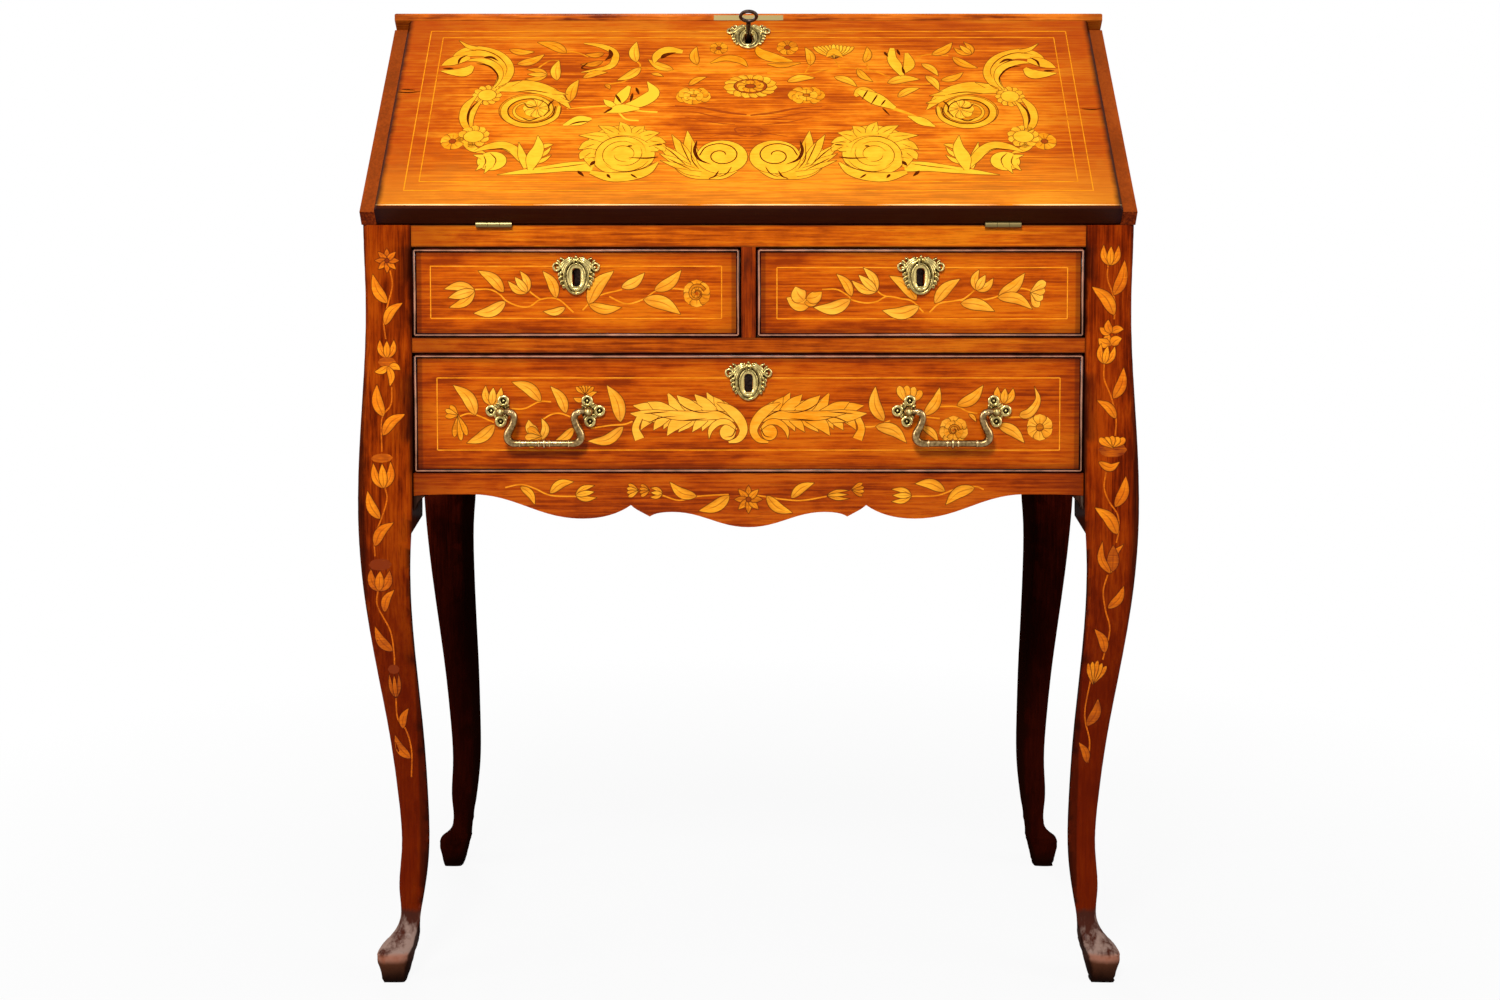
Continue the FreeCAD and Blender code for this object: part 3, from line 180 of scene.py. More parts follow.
def shown(mesh, name, body, materials, slot, *replaced):
    """Ends a piece: makes the smooth object that rides with a body and is drawn instead of some solids."""
    piece = linked(mesh, name, materials)
    for face in piece.data.polygons:
        face.use_smooth = True
    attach(piece, body)
    if replaced:
        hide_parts(*replaced)
    return piece


SOLE, ANKLE = 0.5, 58       # mm over the floor between which a foot's skin is rubbed
FULL_BELOW_ANKLE = 30       # mm under the ankle where the corners are drawn in fully
FACET, CUTS = 4, 15         # mm between cuts, and the cuts along each axis
SQUARENESS = 3              # power of the foot's rounded outline: 2 is an oval, more is squarer
RUBS, REGAINED = 45, 0.8    # rounds of rubbing, and the share of the lost width that is given back


def rasped(leg):
    """The leg's own solid, its foot cut into small facets, drawn in at the corners and rubbed round.

    Rubbing shrinks a foot, so each level of it is then drawn out again towards its old width.
    """
    mesh = bmesh.new()
    mesh.from_mesh(nodes[leg].data)
    bmesh.ops.remove_doubles(mesh, verts=mesh.verts, dist=0.02 * MM)
    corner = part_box(leg)[0]
    for axis in (2, 0, 1):
        across = Vector([float(i == axis) for i in range(3)])
        for cut in range(1, CUTS + 1):
            foot = [face for face in mesh.faces if min(v.co.z for v in face.verts) < ANKLE * MM]
            edges = {edge for face in foot for edge in face.edges}
            verts = {vert for face in foot for vert in face.verts}
            bmesh.ops.bisect_plane(mesh, geom=[*foot, *edges, *verts], plane_no=across,
                                   plane_co=across * (corner[axis] + FACET * MM * cut))
    sole = [v for v in mesh.verts if v.co.z < SOLE * MM]
    skin = [v for v in mesh.verts if SOLE * MM <= v.co.z < ANKLE * MM]
    levels = {}
    for vert in sole + skin:
        levels.setdefault(round(vert.co.z / (FACET * MM)), []).append(vert)
    sizes = {}
    for level, ring in levels.items():
        least, most = [Vector([end(v.co[axis] for v in ring) for axis in (0, 1)]) for end in (min, max)]
        middle, half = (least + most) / 2, (most - least) / 2
        sizes[level] = middle, half
        share = min(1.0, max(0.0, (ANKLE - FACET * level) / FULL_BELOW_ANKLE))
        for vert in ring:
            x, y = [max(0.01, abs(vert.co[axis] - middle[axis]) / half[axis]) for axis in (0, 1)]
            drawn_in = max(x, y) / (x ** SQUARENESS + y ** SQUARENESS) ** (1 / SQUARENESS)
            vert.co.xy = middle + (vert.co.xy - middle) * (1 - share + share * drawn_in)
    for rub in range(RUBS):
        bmesh.ops.smooth_vert(mesh, verts=sole, factor=0.5, use_axis_x=True, use_axis_y=True)
        bmesh.ops.smooth_vert(mesh, verts=skin, factor=0.5, use_axis_x=True, use_axis_y=True, use_axis_z=True)
    for level, ring in levels.items():
        middle, half = sizes[level]
        for axis in (0, 1):
            reach = max(abs(v.co[axis] - middle[axis]) for v in ring)
            for vert in ring:
                vert.co[axis] += (vert.co[axis] - middle[axis]) * REGAINED * (half[axis] / reach - 1)
    return mesh


# near-black, for painted shade on the legs, rails and drawer fronts
SHADE_BLACK = "#1A0703"
# painted shade: the rear legs' walnut is darkened all over, as out of the light
SHADED = ("#200502", "#3C0C04", "#4E1406")      # the rear legs, out of the light
STILE_INNER = 338.8                             # mm from the middle of the front to a stile's inner edge
for leg, side, tones in (
    ("front_left_leg", -1, ("#561602", "#842C03", "#9C3E05")),
    ("front_right_leg", 1, ("#541402", "#7E2603", "#983805")),
    ("rear_left_leg", -1, SHADED),
    ("rear_right_leg", 1, SHADED),
):
    low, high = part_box(leg)
    corner = (high.x if side > 0 else low.x) / MM
    inner = side * STILE_INNER
    # painted shade: faces that look inwards are darkened as out of the light; every foot is also darker down
    # to the floor
    shaded_inner_face = (3, -side * 800, -side * 450, SHADE_BLACK, 0.9, 60)
    dark_sole = (1, 2, 24, "#120502", 0.95, 5)
    if tones is SHADED:
        stains_and_painted_light = [(1, 280, 540, SHADED[0], 0.8, 20), shaded_inner_face, dark_sole]
    else:
        stains_and_painted_light = [
            (1, 280, 540, "#5C1402", 0.8, 20),
            # the foot: bare dark wood, grey scuffs on it, a paler rim of rubbed wear and painted highlight,
            # and the dark pad under that
            (1, 68, 75, "#3E2018", 0.92, 5), (1, 26, 66, "#B89C8E", 0.46, 95),
            (1, 29, 34, "#A0624A", 0.7, 4), (1, 21, 28, "#42200F", 0.92, 3),
            shaded_inner_face, dark_sole,
            # painted shade: darker along the front's outer corner and in a thin line at the stile's inner
            # edge
            (0, corner - side * 5, corner - side * 12, SHADE_BLACK, 0.75, 3),
            (0, inner + side * 0.6, inner + side * 3.0, SHADE_BLACK, 0.55, 1.5),
        ]
    wood = walnut("walnut_" + leg, *tones, (0, 0, 0), grain=1, stains_and_painted_light=stains_and_painted_light, figure=60,
                  polish=0.0 if tones is SHADED else 0.03)
    dress(wood, leg)
    piece = shown(rasped(leg), leg + "_rasped", "case", [wood], "walnut_case", leg)
    piece.data.set_sharp_from_angle(angle=math.radians(32))


# Sides, top and back: broad boards of the case, veneered in plain walnut, the back left in bare oak.
# They are glued and pinned round the legs. The sloping edges beside the fall are worn and darker; faces that
# look upwards, these edges among them, are painted paler as if lit from above.

for name in ("left_side", "right_side"):
    dress(walnut("walnut_" + name, "#561A06", "#802E09", "#9A4210", (0, 0, 650), (90, 0, 90), stains_and_painted_light=[
        (1, -150, -60, "#4A1606", 0.5, 25), (1, 345, 300, "#4A1606", 0.4, 20),
        # painted light: faces that look upwards are paler, as if lit from above
        (5, 640, 400, "#984614", 0.5, 90),
    ], figure=110, polish=0.05), name)
top_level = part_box("top_board")[1].z / MM
dress(walnut("walnut_top", "#6A2406", "#BA560E", "#D4721C", (0, 0, top_level), (0, 0, 0), stains_and_painted_light=[
    (0, -388, -350, "#5A1C06", 0.5, 12), (0, 388, 350, "#5A1C06", 0.5, 12),
]), "top_board")


def oak(name, ground, pale):
    """Quarter-sawn oak, planed and left bare inside: long pale grain with darker pores, matt."""
    made, tree, shader = new_material(name)
    here = add(tree, "TexCoord", {}).outputs["Object"]
    # growth rings 4 mm apart, drawn out along the board
    drawn = add(tree, "Mapping", {"Vector": here, "Scale": per_mm(55.6, 25, 4)}).outputs["Vector"]
    noise = {"Vector": drawn, "Scale": 1.0, "Detail": 5, "Roughness": 0.65}
    rings = add(tree, "TexNoise", noise).outputs["Fac"]
    colour = add(tree, "ValToRGB", {"Fac": rings}, [(0.35, ground), (0.65, pale)]).outputs["Color"]
    tree.links.new(colour, shader.inputs["Base Color"])
    relief = add(tree, "Bump", {"Height": rings, "Strength": 0.25, "Distance": 0.4 * MM})
    tree.links.new(relief.outputs["Normal"], shader.inputs["Normal"])
    shader.inputs["Roughness"].default_value = 0.62
    return made


bare_oak = oak("bare_oak", "#74482A", "#A4764A")
dress(bare_oak, "back_board", "bottom_board", "dust_board", "drawer_guides")


# Front rails, divider and apron: walnut strips tenoned into the stiles, the apron sawn to a scalloped edge.
# Small ears are glued under the apron's ends, against the legs, coloured near-black as painted shade.

def rims(half_x, half_y, depth, code, strength):
    """Marks that darken a board towards its four edges, about its own middle, most at its ends: wax staining
    and painted shade.
    """
    ends, edges = (0, half_x, depth, strength), (1, half_y, depth * 0.6, strength * 0.7)
    return [
        (axis, side * half, side * (half - deep), code, strong, deep / 6)
        for axis, half, deep, strong in (ends, edges) for side in (-1, 1)
    ]


def middle_mm(name):
    """The middle of a solid's box, in mm."""
    low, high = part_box(name)
    return [(a + b) / 2 / MM for a, b in zip(low, high)]


def halves_mm(name):
    """Half the width and half the height of a solid's box, in mm."""
    low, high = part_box(name)
    return (high.x - low.x) / 2 / MM, (high.z - low.z) / 2 / MM


RAIL_EDGE_SHADE = 2.2        # mm along each long edge of a rail
for name, tones in (
    ("top_rail", ("#8A3402", "#BE5406", "#D2700C")),
    ("mid_rail", ("#742802", "#A84606", "#BE600C")),
):
    half_y = halves_mm(name)[1]
    dress(walnut("walnut_" + name, *tones, middle_mm(name), gloss=0.27, stains_and_painted_light=[
        (0, -330, -230, "#7C2A04", 0.6, 24), (0, 330, 260, "#8A3206", 0.35, 20),
        # painted shade: dark lines along the rail's long edges, beside the gaps of the drawers
        (1, -half_y, RAIL_EDGE_SHADE - half_y, SHADE_BLACK, 0.75, 0.5),
        (1, half_y, half_y - RAIL_EDGE_SHADE, SHADE_BLACK, 0.75, 0.5),
    ]), name)
dress(walnut("walnut_divider", "#4E1602", "#842C02", "#9C3E04", middle_mm("drawer_divider"), grain=1),
      "drawer_divider")
dress(walnut("walnut_apron", "#742402", "#A23E04", "#B8540A", middle_mm("front_apron"), stains_and_painted_light=[
    (0, -338, -250, "#6E2204", 0.5, 14), (0, 338, 250, "#6E2204", 0.5, 14),
]), "front_apron")
# painted shade: the ears sit back under the apron, so they are coloured near-black
dress(walnut("ears_in_painted_shade", "#1E0E08", "#37221A", "#5A463A", (0, 0, 500), grain=1, polish=0.0),
      "knee_brackets")


# Marquetry on the stiles and legs: flowers and leaves sawn from boxwood and fruitwood, let into the veneer.
# Their edges keep the dark line of the saw cut, and one half of each leaf is browned in hot sand.

# how wide a veneer is at each share of its length, against its full width
LEAF = lambda s: math.sin(math.pi * s ** 0.78) ** 0.85
SICKLE = lambda s: math.sin(math.pi * s ** 0.55) ** 0.8
PETAL = lambda s: min(1.0, 0.25 + 1.3 * s) * (1 - max(0.0, (s - 0.62) / 0.38) ** 2.5) ** 0.6
DISC = lambda s: 2 * math.sqrt(max(0.0, s * (1 - s)))
EVEN = lambda s: 1.0
TAPER = lambda s: 1 - 0.72 * s
SWELL = lambda s: 0.3 + 0.7 * math.sin(math.pi * min(1.0, s + 0.12))
# the veneers of a panel, by their place in the list that woods() gives
LEAF_WOOD, MASS_WOOD, STRING_WOOD, DARK_WOOD = 0, 1, 2, 3


def along(line, share):
    """The place and heading at a share of the smooth line through some points."""
    step = share * (len(line) - 1)
    i = min(int(step), len(line) - 2)
    t = step - i
    b, c = line[i], line[i + 1]
    a = line[i - 1] if i else 2 * b - c
    d = line[i + 2] if i + 2 < len(line) else 2 * c - b
    bend, twist = 2 * a - 5 * b + 4 * c - d, 3 * b - a - 3 * c + d
    spot = b + ((c - a) * t + bend * t ** 2 + twist * t ** 3) / 2
    heading = (c - a) / 2 + bend * t + 1.5 * twist * t ** 2
    return spot, heading.normalized()


class Marquetry:
    """The veneers let into one panel, drawn in mm of the panel's own frame: x right and y up."""

    THICK = 0.35        # mm
    # mm over the ground: levels part veneers that overlap, and steps keep the rest out of one plane
    PROUD, LEVEL, STEP, STEPS = 0.10, 0.05, 0.004, 12

    def __init__(self, surface):
        self.surface = surface
        self.mesh = bmesh.new()
        self.cut_map = self.mesh.loops.layers.uv.new("cut")
        self.edge = self.mesh.verts.layers.float.new("edge")
        self.tone = self.mesh.verts.layers.float.new("tone")
        self.count = 0

    def settle(self, spots, level, tone, wood):
        """Sets a sheet down on the panel: each vertex at its place, its mm from the saw cut and its u, v."""
        self.count += 1
        out = self.PROUD + self.LEVEL * level + self.STEP * (self.count % self.STEPS)
        for vert, (place, inside, cut) in spots.items():
            vert[self.edge] = inside
            vert[self.tone] = tone
            vert.co = self.surface(place.x, place.y, out)
        for face in {face for vert in spots for face in vert.link_faces}:
            face.material_index = wood
            for loop in face.loops:
                loop[self.cut_map].uv = spots[loop.vert][2]

    def lay(self, line, width, shape=EVEN, level=0, tone=0.5, wood=STRING_WOOD):
        """One veneer: a strip bent along a smooth line, as wide at each share of it as the shape says."""
        line = [Vector(p) for p in line]
        strip = bmesh.ops.create_grid(self.mesh, x_segments=8 + 4 * (len(line) - 2), y_segments=2, size=0.5)
        spots = {}
        for vert in strip["verts"]:
            share, across = vert.co.x + 0.5, vert.co.y
            place, heading = along(line, share)
            wide = width * max(0.03, shape(share))
            place = place + Vector((-heading.y, heading.x)) * wide * across
            spots[vert] = (place, wide * (0.5 - abs(across)), (share, across + 0.5))
        self.settle(spots, level, tone, wood)

    def disc(self, centre, rx, ry, tone=0.5, level=1):
        """A plain oval veneer."""
        made = bmesh.ops.create_circle(self.mesh, cap_ends=True, cap_tris=True, segments=28, radius=1)
        spots = {}
        for vert in made["verts"]:
            x, y = vert.co.x, vert.co.y
            place = Vector((centre[0] + rx * x, centre[1] + ry * y))
            spots[vert] = (place, min(rx, ry) * (1 - math.hypot(x, y)), (0.5 + x / 2, 0.5 + y / 2))
        self.settle(spots, level, tone, MASS_WOOD)

    def mass(self, line, widths, tone=0.6, level=1):
        """A broad veneer along a line, its widths in mm given one after another."""
        sizes = [Vector((w, 0)) for w in widths]
        self.lay(line, 1.0, lambda share: along(sizes, share)[0].x, level, tone, MASS_WOOD)

    def cut(self, *line, width=1.0, level=6):
        """A line cut with the saw and filled dark, running out at both ends."""
        self.lay(line, width, LEAF, level, 0.5, DARK_WOOD)

    def leaf(self, base, tip, width=0, bend=0.12, level=1, tone=0.55):
        """A leaf from its base to its tip, bowed to one side. With no width it has a leaf's usual one."""
        base, tip = Vector(base), Vector(tip)
        run = tip - base
        middle = (base + tip) / 2 + Vector((-run.y, run.x)) * bend
        self.lay([base, middle, tip], width or run.length * 0.36, LEAF, level, tone, LEAF_WOOD)

    def leaves(self, *pairs, **kind):
        """Leaves of one kind, each given by its base and tip."""
        for pair in pairs:
            self.leaf(*pair, **kind)

    def stem(self, *points, width=1.5, tone=0.45):
        """A thin line of veneer. A stout one tapers."""
        self.lay(points, width, TAPER if width > 2 else EVEN, 0, tone)

    def stems(self, *lines, **kind):
        """Stems of one kind, each given by its points."""
        for points in lines:
            self.stem(*points, **kind)

    def bloom(self, centre, radius, petals=6, squash=1.0, turn=90, tone=0.5, heart=0.3, level=1):
        """Petals round a heart."""
        centre = Vector(centre)
        for i in range(petals):
            a = math.radians(turn + 360 * i / petals)
            reach = Vector((math.cos(a), math.sin(a) * squash)) * radius
            wide = 2.1 * radius * math.sin(math.pi / petals)
            petal = [centre + reach * 0.12, centre + reach]
            self.lay(petal, wide, PETAL, level, tone + 0.1 * (i % 2), LEAF_WOOD)
        if heart:
            self.disc(centre, radius * heart, radius * heart * squash, tone - 0.45, level + 1)

    def star(self, centre, radius, points=8, tone=0.3):
        """Pointed petals round a small heart."""
        for i in range(points):
            a = math.radians(90 + 360 * i / points)
            tip = (centre[0] + radius * math.cos(a), centre[1] + radius * math.sin(a))
            self.leaf(centre, tip, radius * 0.5, 0, 1, tone + 0.1 * (i % 2))
        self.disc(centre, radius * 0.2, radius * 0.2, tone - 0.3, 2)

    def tulip(self, base, tip, width, tone=0.6, level=1):
        """Two outer petals that open to the sides, and a middle one over them."""
        base, tip = Vector(base), Vector(tip)
        run = tip - base
        aside = Vector((-run.y, run.x)).normalized() * width
        for side in (-1, 1):
            line = [base, base + run * 0.45 + aside * 0.36 * side, tip + aside * 0.42 * side]
            self.lay(line, width * 0.46, LEAF, level, tone, LEAF_WOOD)
        middle = [base, base + run * 0.5, tip - run * 0.06]
        self.lay(middle, width * 0.44, LEAF, level + 1, tone + 0.15, LEAF_WOOD)

    def fan(self, base, tip, width, petals=5, tone=0.5, level=1):
        """Narrow petals opening from one point."""
        base, tip = Vector(base), Vector(tip)
        run = tip - base
        aside = Vector((-run.y, run.x)).normalized() * width
        for i in range(petals):
            lean = i / (petals - 1) - 0.5
            end = tip + aside * lean - run * abs(lean) * 0.35
            self.lay([base, (base + end) / 2 + aside * lean * 0.1, end], width / petals * 1.5, PETAL, level,
                     tone + 0.15 * (i % 2), LEAF_WOOD)

    def curl(self, centre, radii, start, turns, width, squash=1.0, tone=0.6, level=1, ends=TAPER,
             wood=MASS_WOOD):
        """A band wound in a flat spiral from the first radius to the second."""
        centre = Vector(centre)
        count = max(5, int(abs(turns) * 9))
        line = []
        for i in range(count + 1):
            share = i / count
            a = math.radians(start) + 2 * math.pi * turns * share
            r = radii[0] + (radii[1] - radii[0]) * share
            line.append(centre + Vector((math.cos(a), math.sin(a) * squash)) * r)
        self.lay(line, width, ends, level, tone, wood)

    def string(self, x0, x1, y0, y1, width=1.0, tone=0.4, gap=20):
        """A line of boxwood round a rectangle, its top broken behind the keyhole plate."""
        middle = (x0 + x1) / 2
        corners = [(middle - gap / 2, y1), (x0, y1), (x0, y0), (x1, y0), (x1, y1), (middle + gap / 2, y1)]
        for a, b in zip(corners, corners[1:]):
            self.lay([a, b], width, EVEN, 0, tone)

    def let_in(self, name, body, woods):
        """Ends the panel: a thin closed piece that rides with its ground."""
        piece = linked(self.mesh, name, woods)
        thick = piece.modifiers.new("thickness", "SOLIDIFY")
        thick.thickness = self.THICK * MM
        thick.offset = -1.0
        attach(piece, body)


def inlay_wood(name, pale, deep, burnt, veined=False, outlined=True):
    """Boxwood and fruitwood veneer: fine straight grain and a dark saw cut round it.

    Veined pieces are leaves: one half and the root are browned in hot sand, and veins are cut along them.
    """
    made, tree, shader = new_material(name)
    edge = add(tree, "Attribute", {}, attribute_name="edge").outputs["Fac"]
    tone = add(tree, "Attribute", {}, attribute_name="tone").outputs["Fac"]
    cut = add(tree, "SeparateXYZ", {"Vector": add(tree, "UVMap", {}, uv_map="cut").outputs["UV"]}).outputs
    here = add(tree, "TexCoord", {}).outputs["Object"]
    # grain 1.5 mm across and 12.5 mm long, coarser than boxwood's so that it shows
    drawn = add(tree, "Mapping", {"Vector": here, "Scale": per_mm(12.5, 1.667, 1.515)}).outputs["Vector"]
    grain = add(tree, "TexNoise", {"Vector": drawn, "Scale": 1.0, "Detail": 3}).outputs["Fac"]
    patchy = add(tree, "TexNoise", {"Vector": here, "Scale": per_mm(14.29), "Detail": 2}).outputs["Fac"]
    grain = add(tree, "Math", {0: grain, 1: patchy}, operation="ADD").outputs[0]
    mixed = add(tree, "Math", {0: grain, 1: 0.55, 2: tone}, operation="MULTIPLY_ADD").outputs[0]
    share = add(tree, "MapRange", {"Value": mixed, "From Min": 0.5, "From Max": 1.6}).outputs["Result"]
    tones = [(0.05, burnt), (0.85, pale), (0.4, deep)]
    colour = add(tree, "ValToRGB", {"Fac": share}, tones).outputs["Color"]
    if veined:
        sand = add(tree, "MapRange", {
            "Value": cut["Y"], "From Min": 0.02, "From Max": 0.42, "To Min": 0.4, "To Max": 0.0,
        }, interpolation_type="SMOOTHSTEP").outputs["Result"]
        root = add(tree, "MapRange", {
            "Value": cut["X"], "From Min": 0.05, "From Max": 0.45, "To Min": 0.35, "To Max": 0.0,
        }, interpolation_type="SMOOTHSTEP").outputs["Result"]
        sand = add(tree, "Math", {0: sand, 1: root}, operation="MAXIMUM").outputs[0]
        colour = add(tree, "Mix", {0: sand, 6: colour, 7: linear(burnt)}, data_type="RGBA").outputs[2]
        beat = add(tree, "Math", {0: cut["Y"], 1: 4.0}, operation="MULTIPLY").outputs[0]
        beat = add(tree, "Math", {0: beat, 1: 1.0}, operation="PINGPONG").outputs[0]
        fade = add(tree, "MapRange", {"Value": cut["X"], "From Min": 0.95, "From Max": 0.5}).outputs["Result"]
        line = add(tree, "MapRange", {"Value": beat, "From Min": 0.26, "From Max": 0.08}).outputs["Result"]
        vein = add(tree, "Math", {0: line, 1: fade}, operation="MULTIPLY").outputs[0]
        vein = add(tree, "Math", {0: vein, 1: 0.6}, operation="MULTIPLY").outputs[0]
        colour = add(tree, "Mix", {0: vein, 6: colour, 7: linear(burnt)}, data_type="RGBA").outputs[2]
    if outlined:
        kerf = add(tree, "MapRange", {
            "Value": edge, "From Min": 0.3, "From Max": 0.9, "To Min": 0.95, "To Max": 0.0,
        }).outputs["Result"]
        colour = add(tree, "Mix", {0: kerf, 6: colour, 7: linear("#3E1003")}, data_type="RGBA").outputs[2]
    tree.links.new(colour, shader.inputs["Base Color"])
    shader.inputs["Roughness"].default_value = 0.33
    shellac(shader, 0.12)
    return made


# ebonised fruitwood fills the saw cuts: sooty red-brown, without a gleam
ebonised, tree, shader = new_material("ebonised_fruitwood")
here = add(tree, "TexCoord", {}).outputs["Object"]
soot = add(tree, "TexNoise", {"Vector": here, "Scale": per_mm(2.5)}).outputs["Fac"]
colour = add(tree, "ValToRGB", {"Fac": soot}, [(0.3, "#3A1203"), (0.7, "#642606")]).outputs["Color"]
tree.links.new(colour, shader.inputs["Base Color"])
shader.inputs["Specular IOR Level"].default_value = 0.0


def woods(name, pale, deep, burnt):
    """The veneers of one panel: shaded leaves, plain masses, strings and dark cuts."""
    return [
        inlay_wood("shaded_boxwood_" + name, pale, deep, burnt, veined=True),
        inlay_wood("boxwood_" + name, pale, deep, burnt),
        inlay_wood("boxwood_string_" + name, pale, deep, burnt, outlined=False),
        ebonised,
    ]


BORDER = 2.5        # mm of bare ground at each edge of a leg


def on_leg(name):
    """The front of a leg, found by looking at it from the front. Points by its edges are drawn inwards."""
    solid = nodes[name].data
    solid = BVHTree.FromPolygons([v.co for v in solid.vertices], [face.vertices for face in solid.polygons])
    hand = 1 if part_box(name)[0].x > 0 else -1
    spans = {}

    def look(across, y):
        return solid.ray_cast(Vector((hand * across * MM, -1, y * MM)), Vector((0, 1, 0)))[:2]

    def surface(x, y, out):
        row = round(y)
        if row not in spans:
            # half-millimetre steps over every place where a front leg can be
            hits = [step / 2 for step in range(640, 800) if look(step / 2, row)[0]]
            spans[row] = ((hits[0] + hits[-1]) / 2, (hits[-1] - hits[0]) / 2 - BORDER)
        middle, half = spans[row]
        aside = hand * x - middle
        spot, normal = look(middle + aside / (1 + abs(aside / half) ** 6) ** (1 / 6), y)
        return spot + normal * out * MM
    return surface


leg_woods = woods("legs", "#F8961A", "#D0640A", "#7A2C0A")
vine = Marquetry(on_leg("front_left_leg"))
vine.star((-363, 744), 13)
vine.stems(
    ((-360, 734), (-358, 719), (-363, 699), (-367, 683), (-365, 665)),
    ((-359, 617), (-360, 599), (-369, 585), (-369, 552)),
    ((-366, 516), (-364, 504), (-370, 484), (-377, 466), (-377, 446)),
    ((-375, 411), (-376, 395), (-364, 369), (-361, 345), (-361, 333)),
    ((-361, 297), (-360, 275), (-352, 263), (-347, 241), (-348, 212)),
    tone=0.3,
)
vine.leaves(((-363, 701), (-378, 731)), ((-367, 587), (-374, 620)), ((-371, 484), (-384, 513)),
            tone=0.6, bend=0.1)
vine.leaves(((-366, 679), (-347, 702)), ((-368, 568), (-344, 590)), tone=0.55, bend=0.14)
vine.leaves(((-377, 456), (-357, 481)), ((-369, 388), (-358, 412)), tone=0.4, bend=0.14)
vine.leaves(((-362, 347), (-380, 374)), ((-355, 264), (-348, 287)), ((-348, 232), (-364, 258)), tone=0.35)
vine.tulip((-364, 646), (-364, 665), 17, 0.55)
vine.lay([(-373, 642), (-355, 642)], 10, DISC, 1, 0.15)
vine.leaves(((-363, 638), (-377, 632)), ((-362, 638), (-350, 634)), ((-363, 638), (-361, 617)),
            width=8, tone=0.65)
for left, right, high, base, tone in (
    ((-380, 545), (-358, 546), 9, (-367, 515), 0.55), ((-384, 437), (-360, 438), 12, (-374, 410), 0.3),
    ((-368, 328), (-356, 328), 10, (-361, 297), 0.2),
):
    top = ((left[0] + right[0]) / 2, left[1] - high * 0.35)
    vine.lay([left, right], high, DISC, 1, tone - 0.35)
    vine.tulip(base, top, (right[0] - left[0]) * 0.95, tone, 2)
vine.let_in("left_leg_marquetry", "case", leg_woods)

vine = Marquetry(on_leg("front_right_leg"))
vine.stems(
    ((361, 740), (361, 725), (368, 705), (368, 685)),
    ((358, 640), (358, 625), (365, 607), (370, 585), (369, 568)),
    ((360, 532), (358, 516), (363, 502), (372, 488), (373, 472), (371, 460)),
    ((363, 427), (359, 410), (362, 390), (367, 369), (361, 338)),
    ((350, 320), (345, 287), (346, 271), (351, 251), (350, 228)),
    tone=0.3,
)
vine.leaves(((367, 709), (378, 745)), ((367, 605), (378, 637)), ((369, 496), (380, 528)),
            tone=0.45, bend=-0.1)
vine.leaves(((368, 689), (344, 718)), ((370, 585), (350, 604)), ((372, 468), (348, 496)),
            tone=0.55, bend=-0.12)
vine.leaves(((364, 392), (380, 416)), ((363, 345), (351, 371)), tone=0.4, bend=-0.12)
vine.leaves(((347, 267), (358, 297)), ((349, 227), (339, 250)), tone=0.25, bend=-0.12)
vine.tulip((363, 739), (364, 760), 18, 0.5)
vine.leaves(((365, 672), (353, 677)), ((365, 672), (378, 675)), ((365, 671), (362, 685)), width=9, tone=0.55)
vine.leaves(((364, 660), (352, 666)), ((365, 659), (376, 666)), ((364, 658), (362, 671)), width=11, tone=0.6)
vine.tulip((358, 640), (362, 660), 17, 0.65, 2)
vine.lay([(352, 554), (381, 554)], 15, DISC, 1, 0.1)
vine.fan((366, 556), (366, 568), 26, 5, 0.6, 2)
vine.lay([(352, 542), (364, 536), (374, 542)], 9, LEAF, 2, 0.6, LEAF_WOOD)
vine.leaves(((366, 428), (357, 462)), ((366, 428), (379, 459)), width=9, tone=0.45, bend=0.16)
vine.lay([(368, 430), (368, 458)], 13, LEAF, 1, 0.2, LEAF_WOOD)
vine.fan((352, 312), (356, 338), 20, 5, 0.5)
vine.let_in("right_leg_marquetry", "case", leg_woods)


# Marquetry on the apron: two sprigs each side of a star flower, sawn from boxwood and fruitwood.
# They are let into the apron's veneer like those of the legs, and are a little paler.

face_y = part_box("front_apron")[0].y


def on_face(x, y, out):
    """The plane of the rails and drawer fronts."""
    return Vector((x * MM, face_y - out * MM, y * MM))


sprig = Marquetry(on_face)
sprig.star((0, 503), 15, tone=0.25)
sprig.stems(
    ((-246, 515), (-230, 518), (-216, 514), (-200, 507), (-174, 506)),
    ((-87, 507), (-70, 502), (-52, 506), (-20, 508)),
    ((9, 507), (35, 503), (55, 502), (79, 506)), ((165, 506), (191, 507), (211, 514), (229, 516), (238, 513)),
)
sprig.leaves(((-231, 516), (-216, 497)), ((-201, 509), (-176, 521)), ((-52, 506), (-80, 521)),
             tone=0.6, bend=0.14)
sprig.leaves(((-19, 507), (-51, 491)), ((43, 504), (67, 520)), tone=0.65, bend=0.1)
sprig.leaves(((18, 507), (45, 489)), ((199, 511), (168, 519)), ((229, 515), (199, 497)), tone=0.6, bend=-0.12)
sprig.tulip((-175, 507), (-154, 511), 15, 0.65)
sprig.tulip((165, 507), (144, 507), 15, 0.65)
sprig.fan((-111, 512), (-124, 512), 13, 4, 0.5)
sprig.fan((-100, 512), (-111, 512), 12, 4, 0.3)
sprig.tulip((-87, 509), (-100, 510), 11, 0.55)
sprig.tulip((79, 507), (103, 508), 10, 0.5)
sprig.fan((104, 513), (118, 513), 13, 4, 0.35)
sprig.let_in("apron_marquetry", "case", woods("apron", "#FFB02C", "#D8780F", "#8A3A08"))
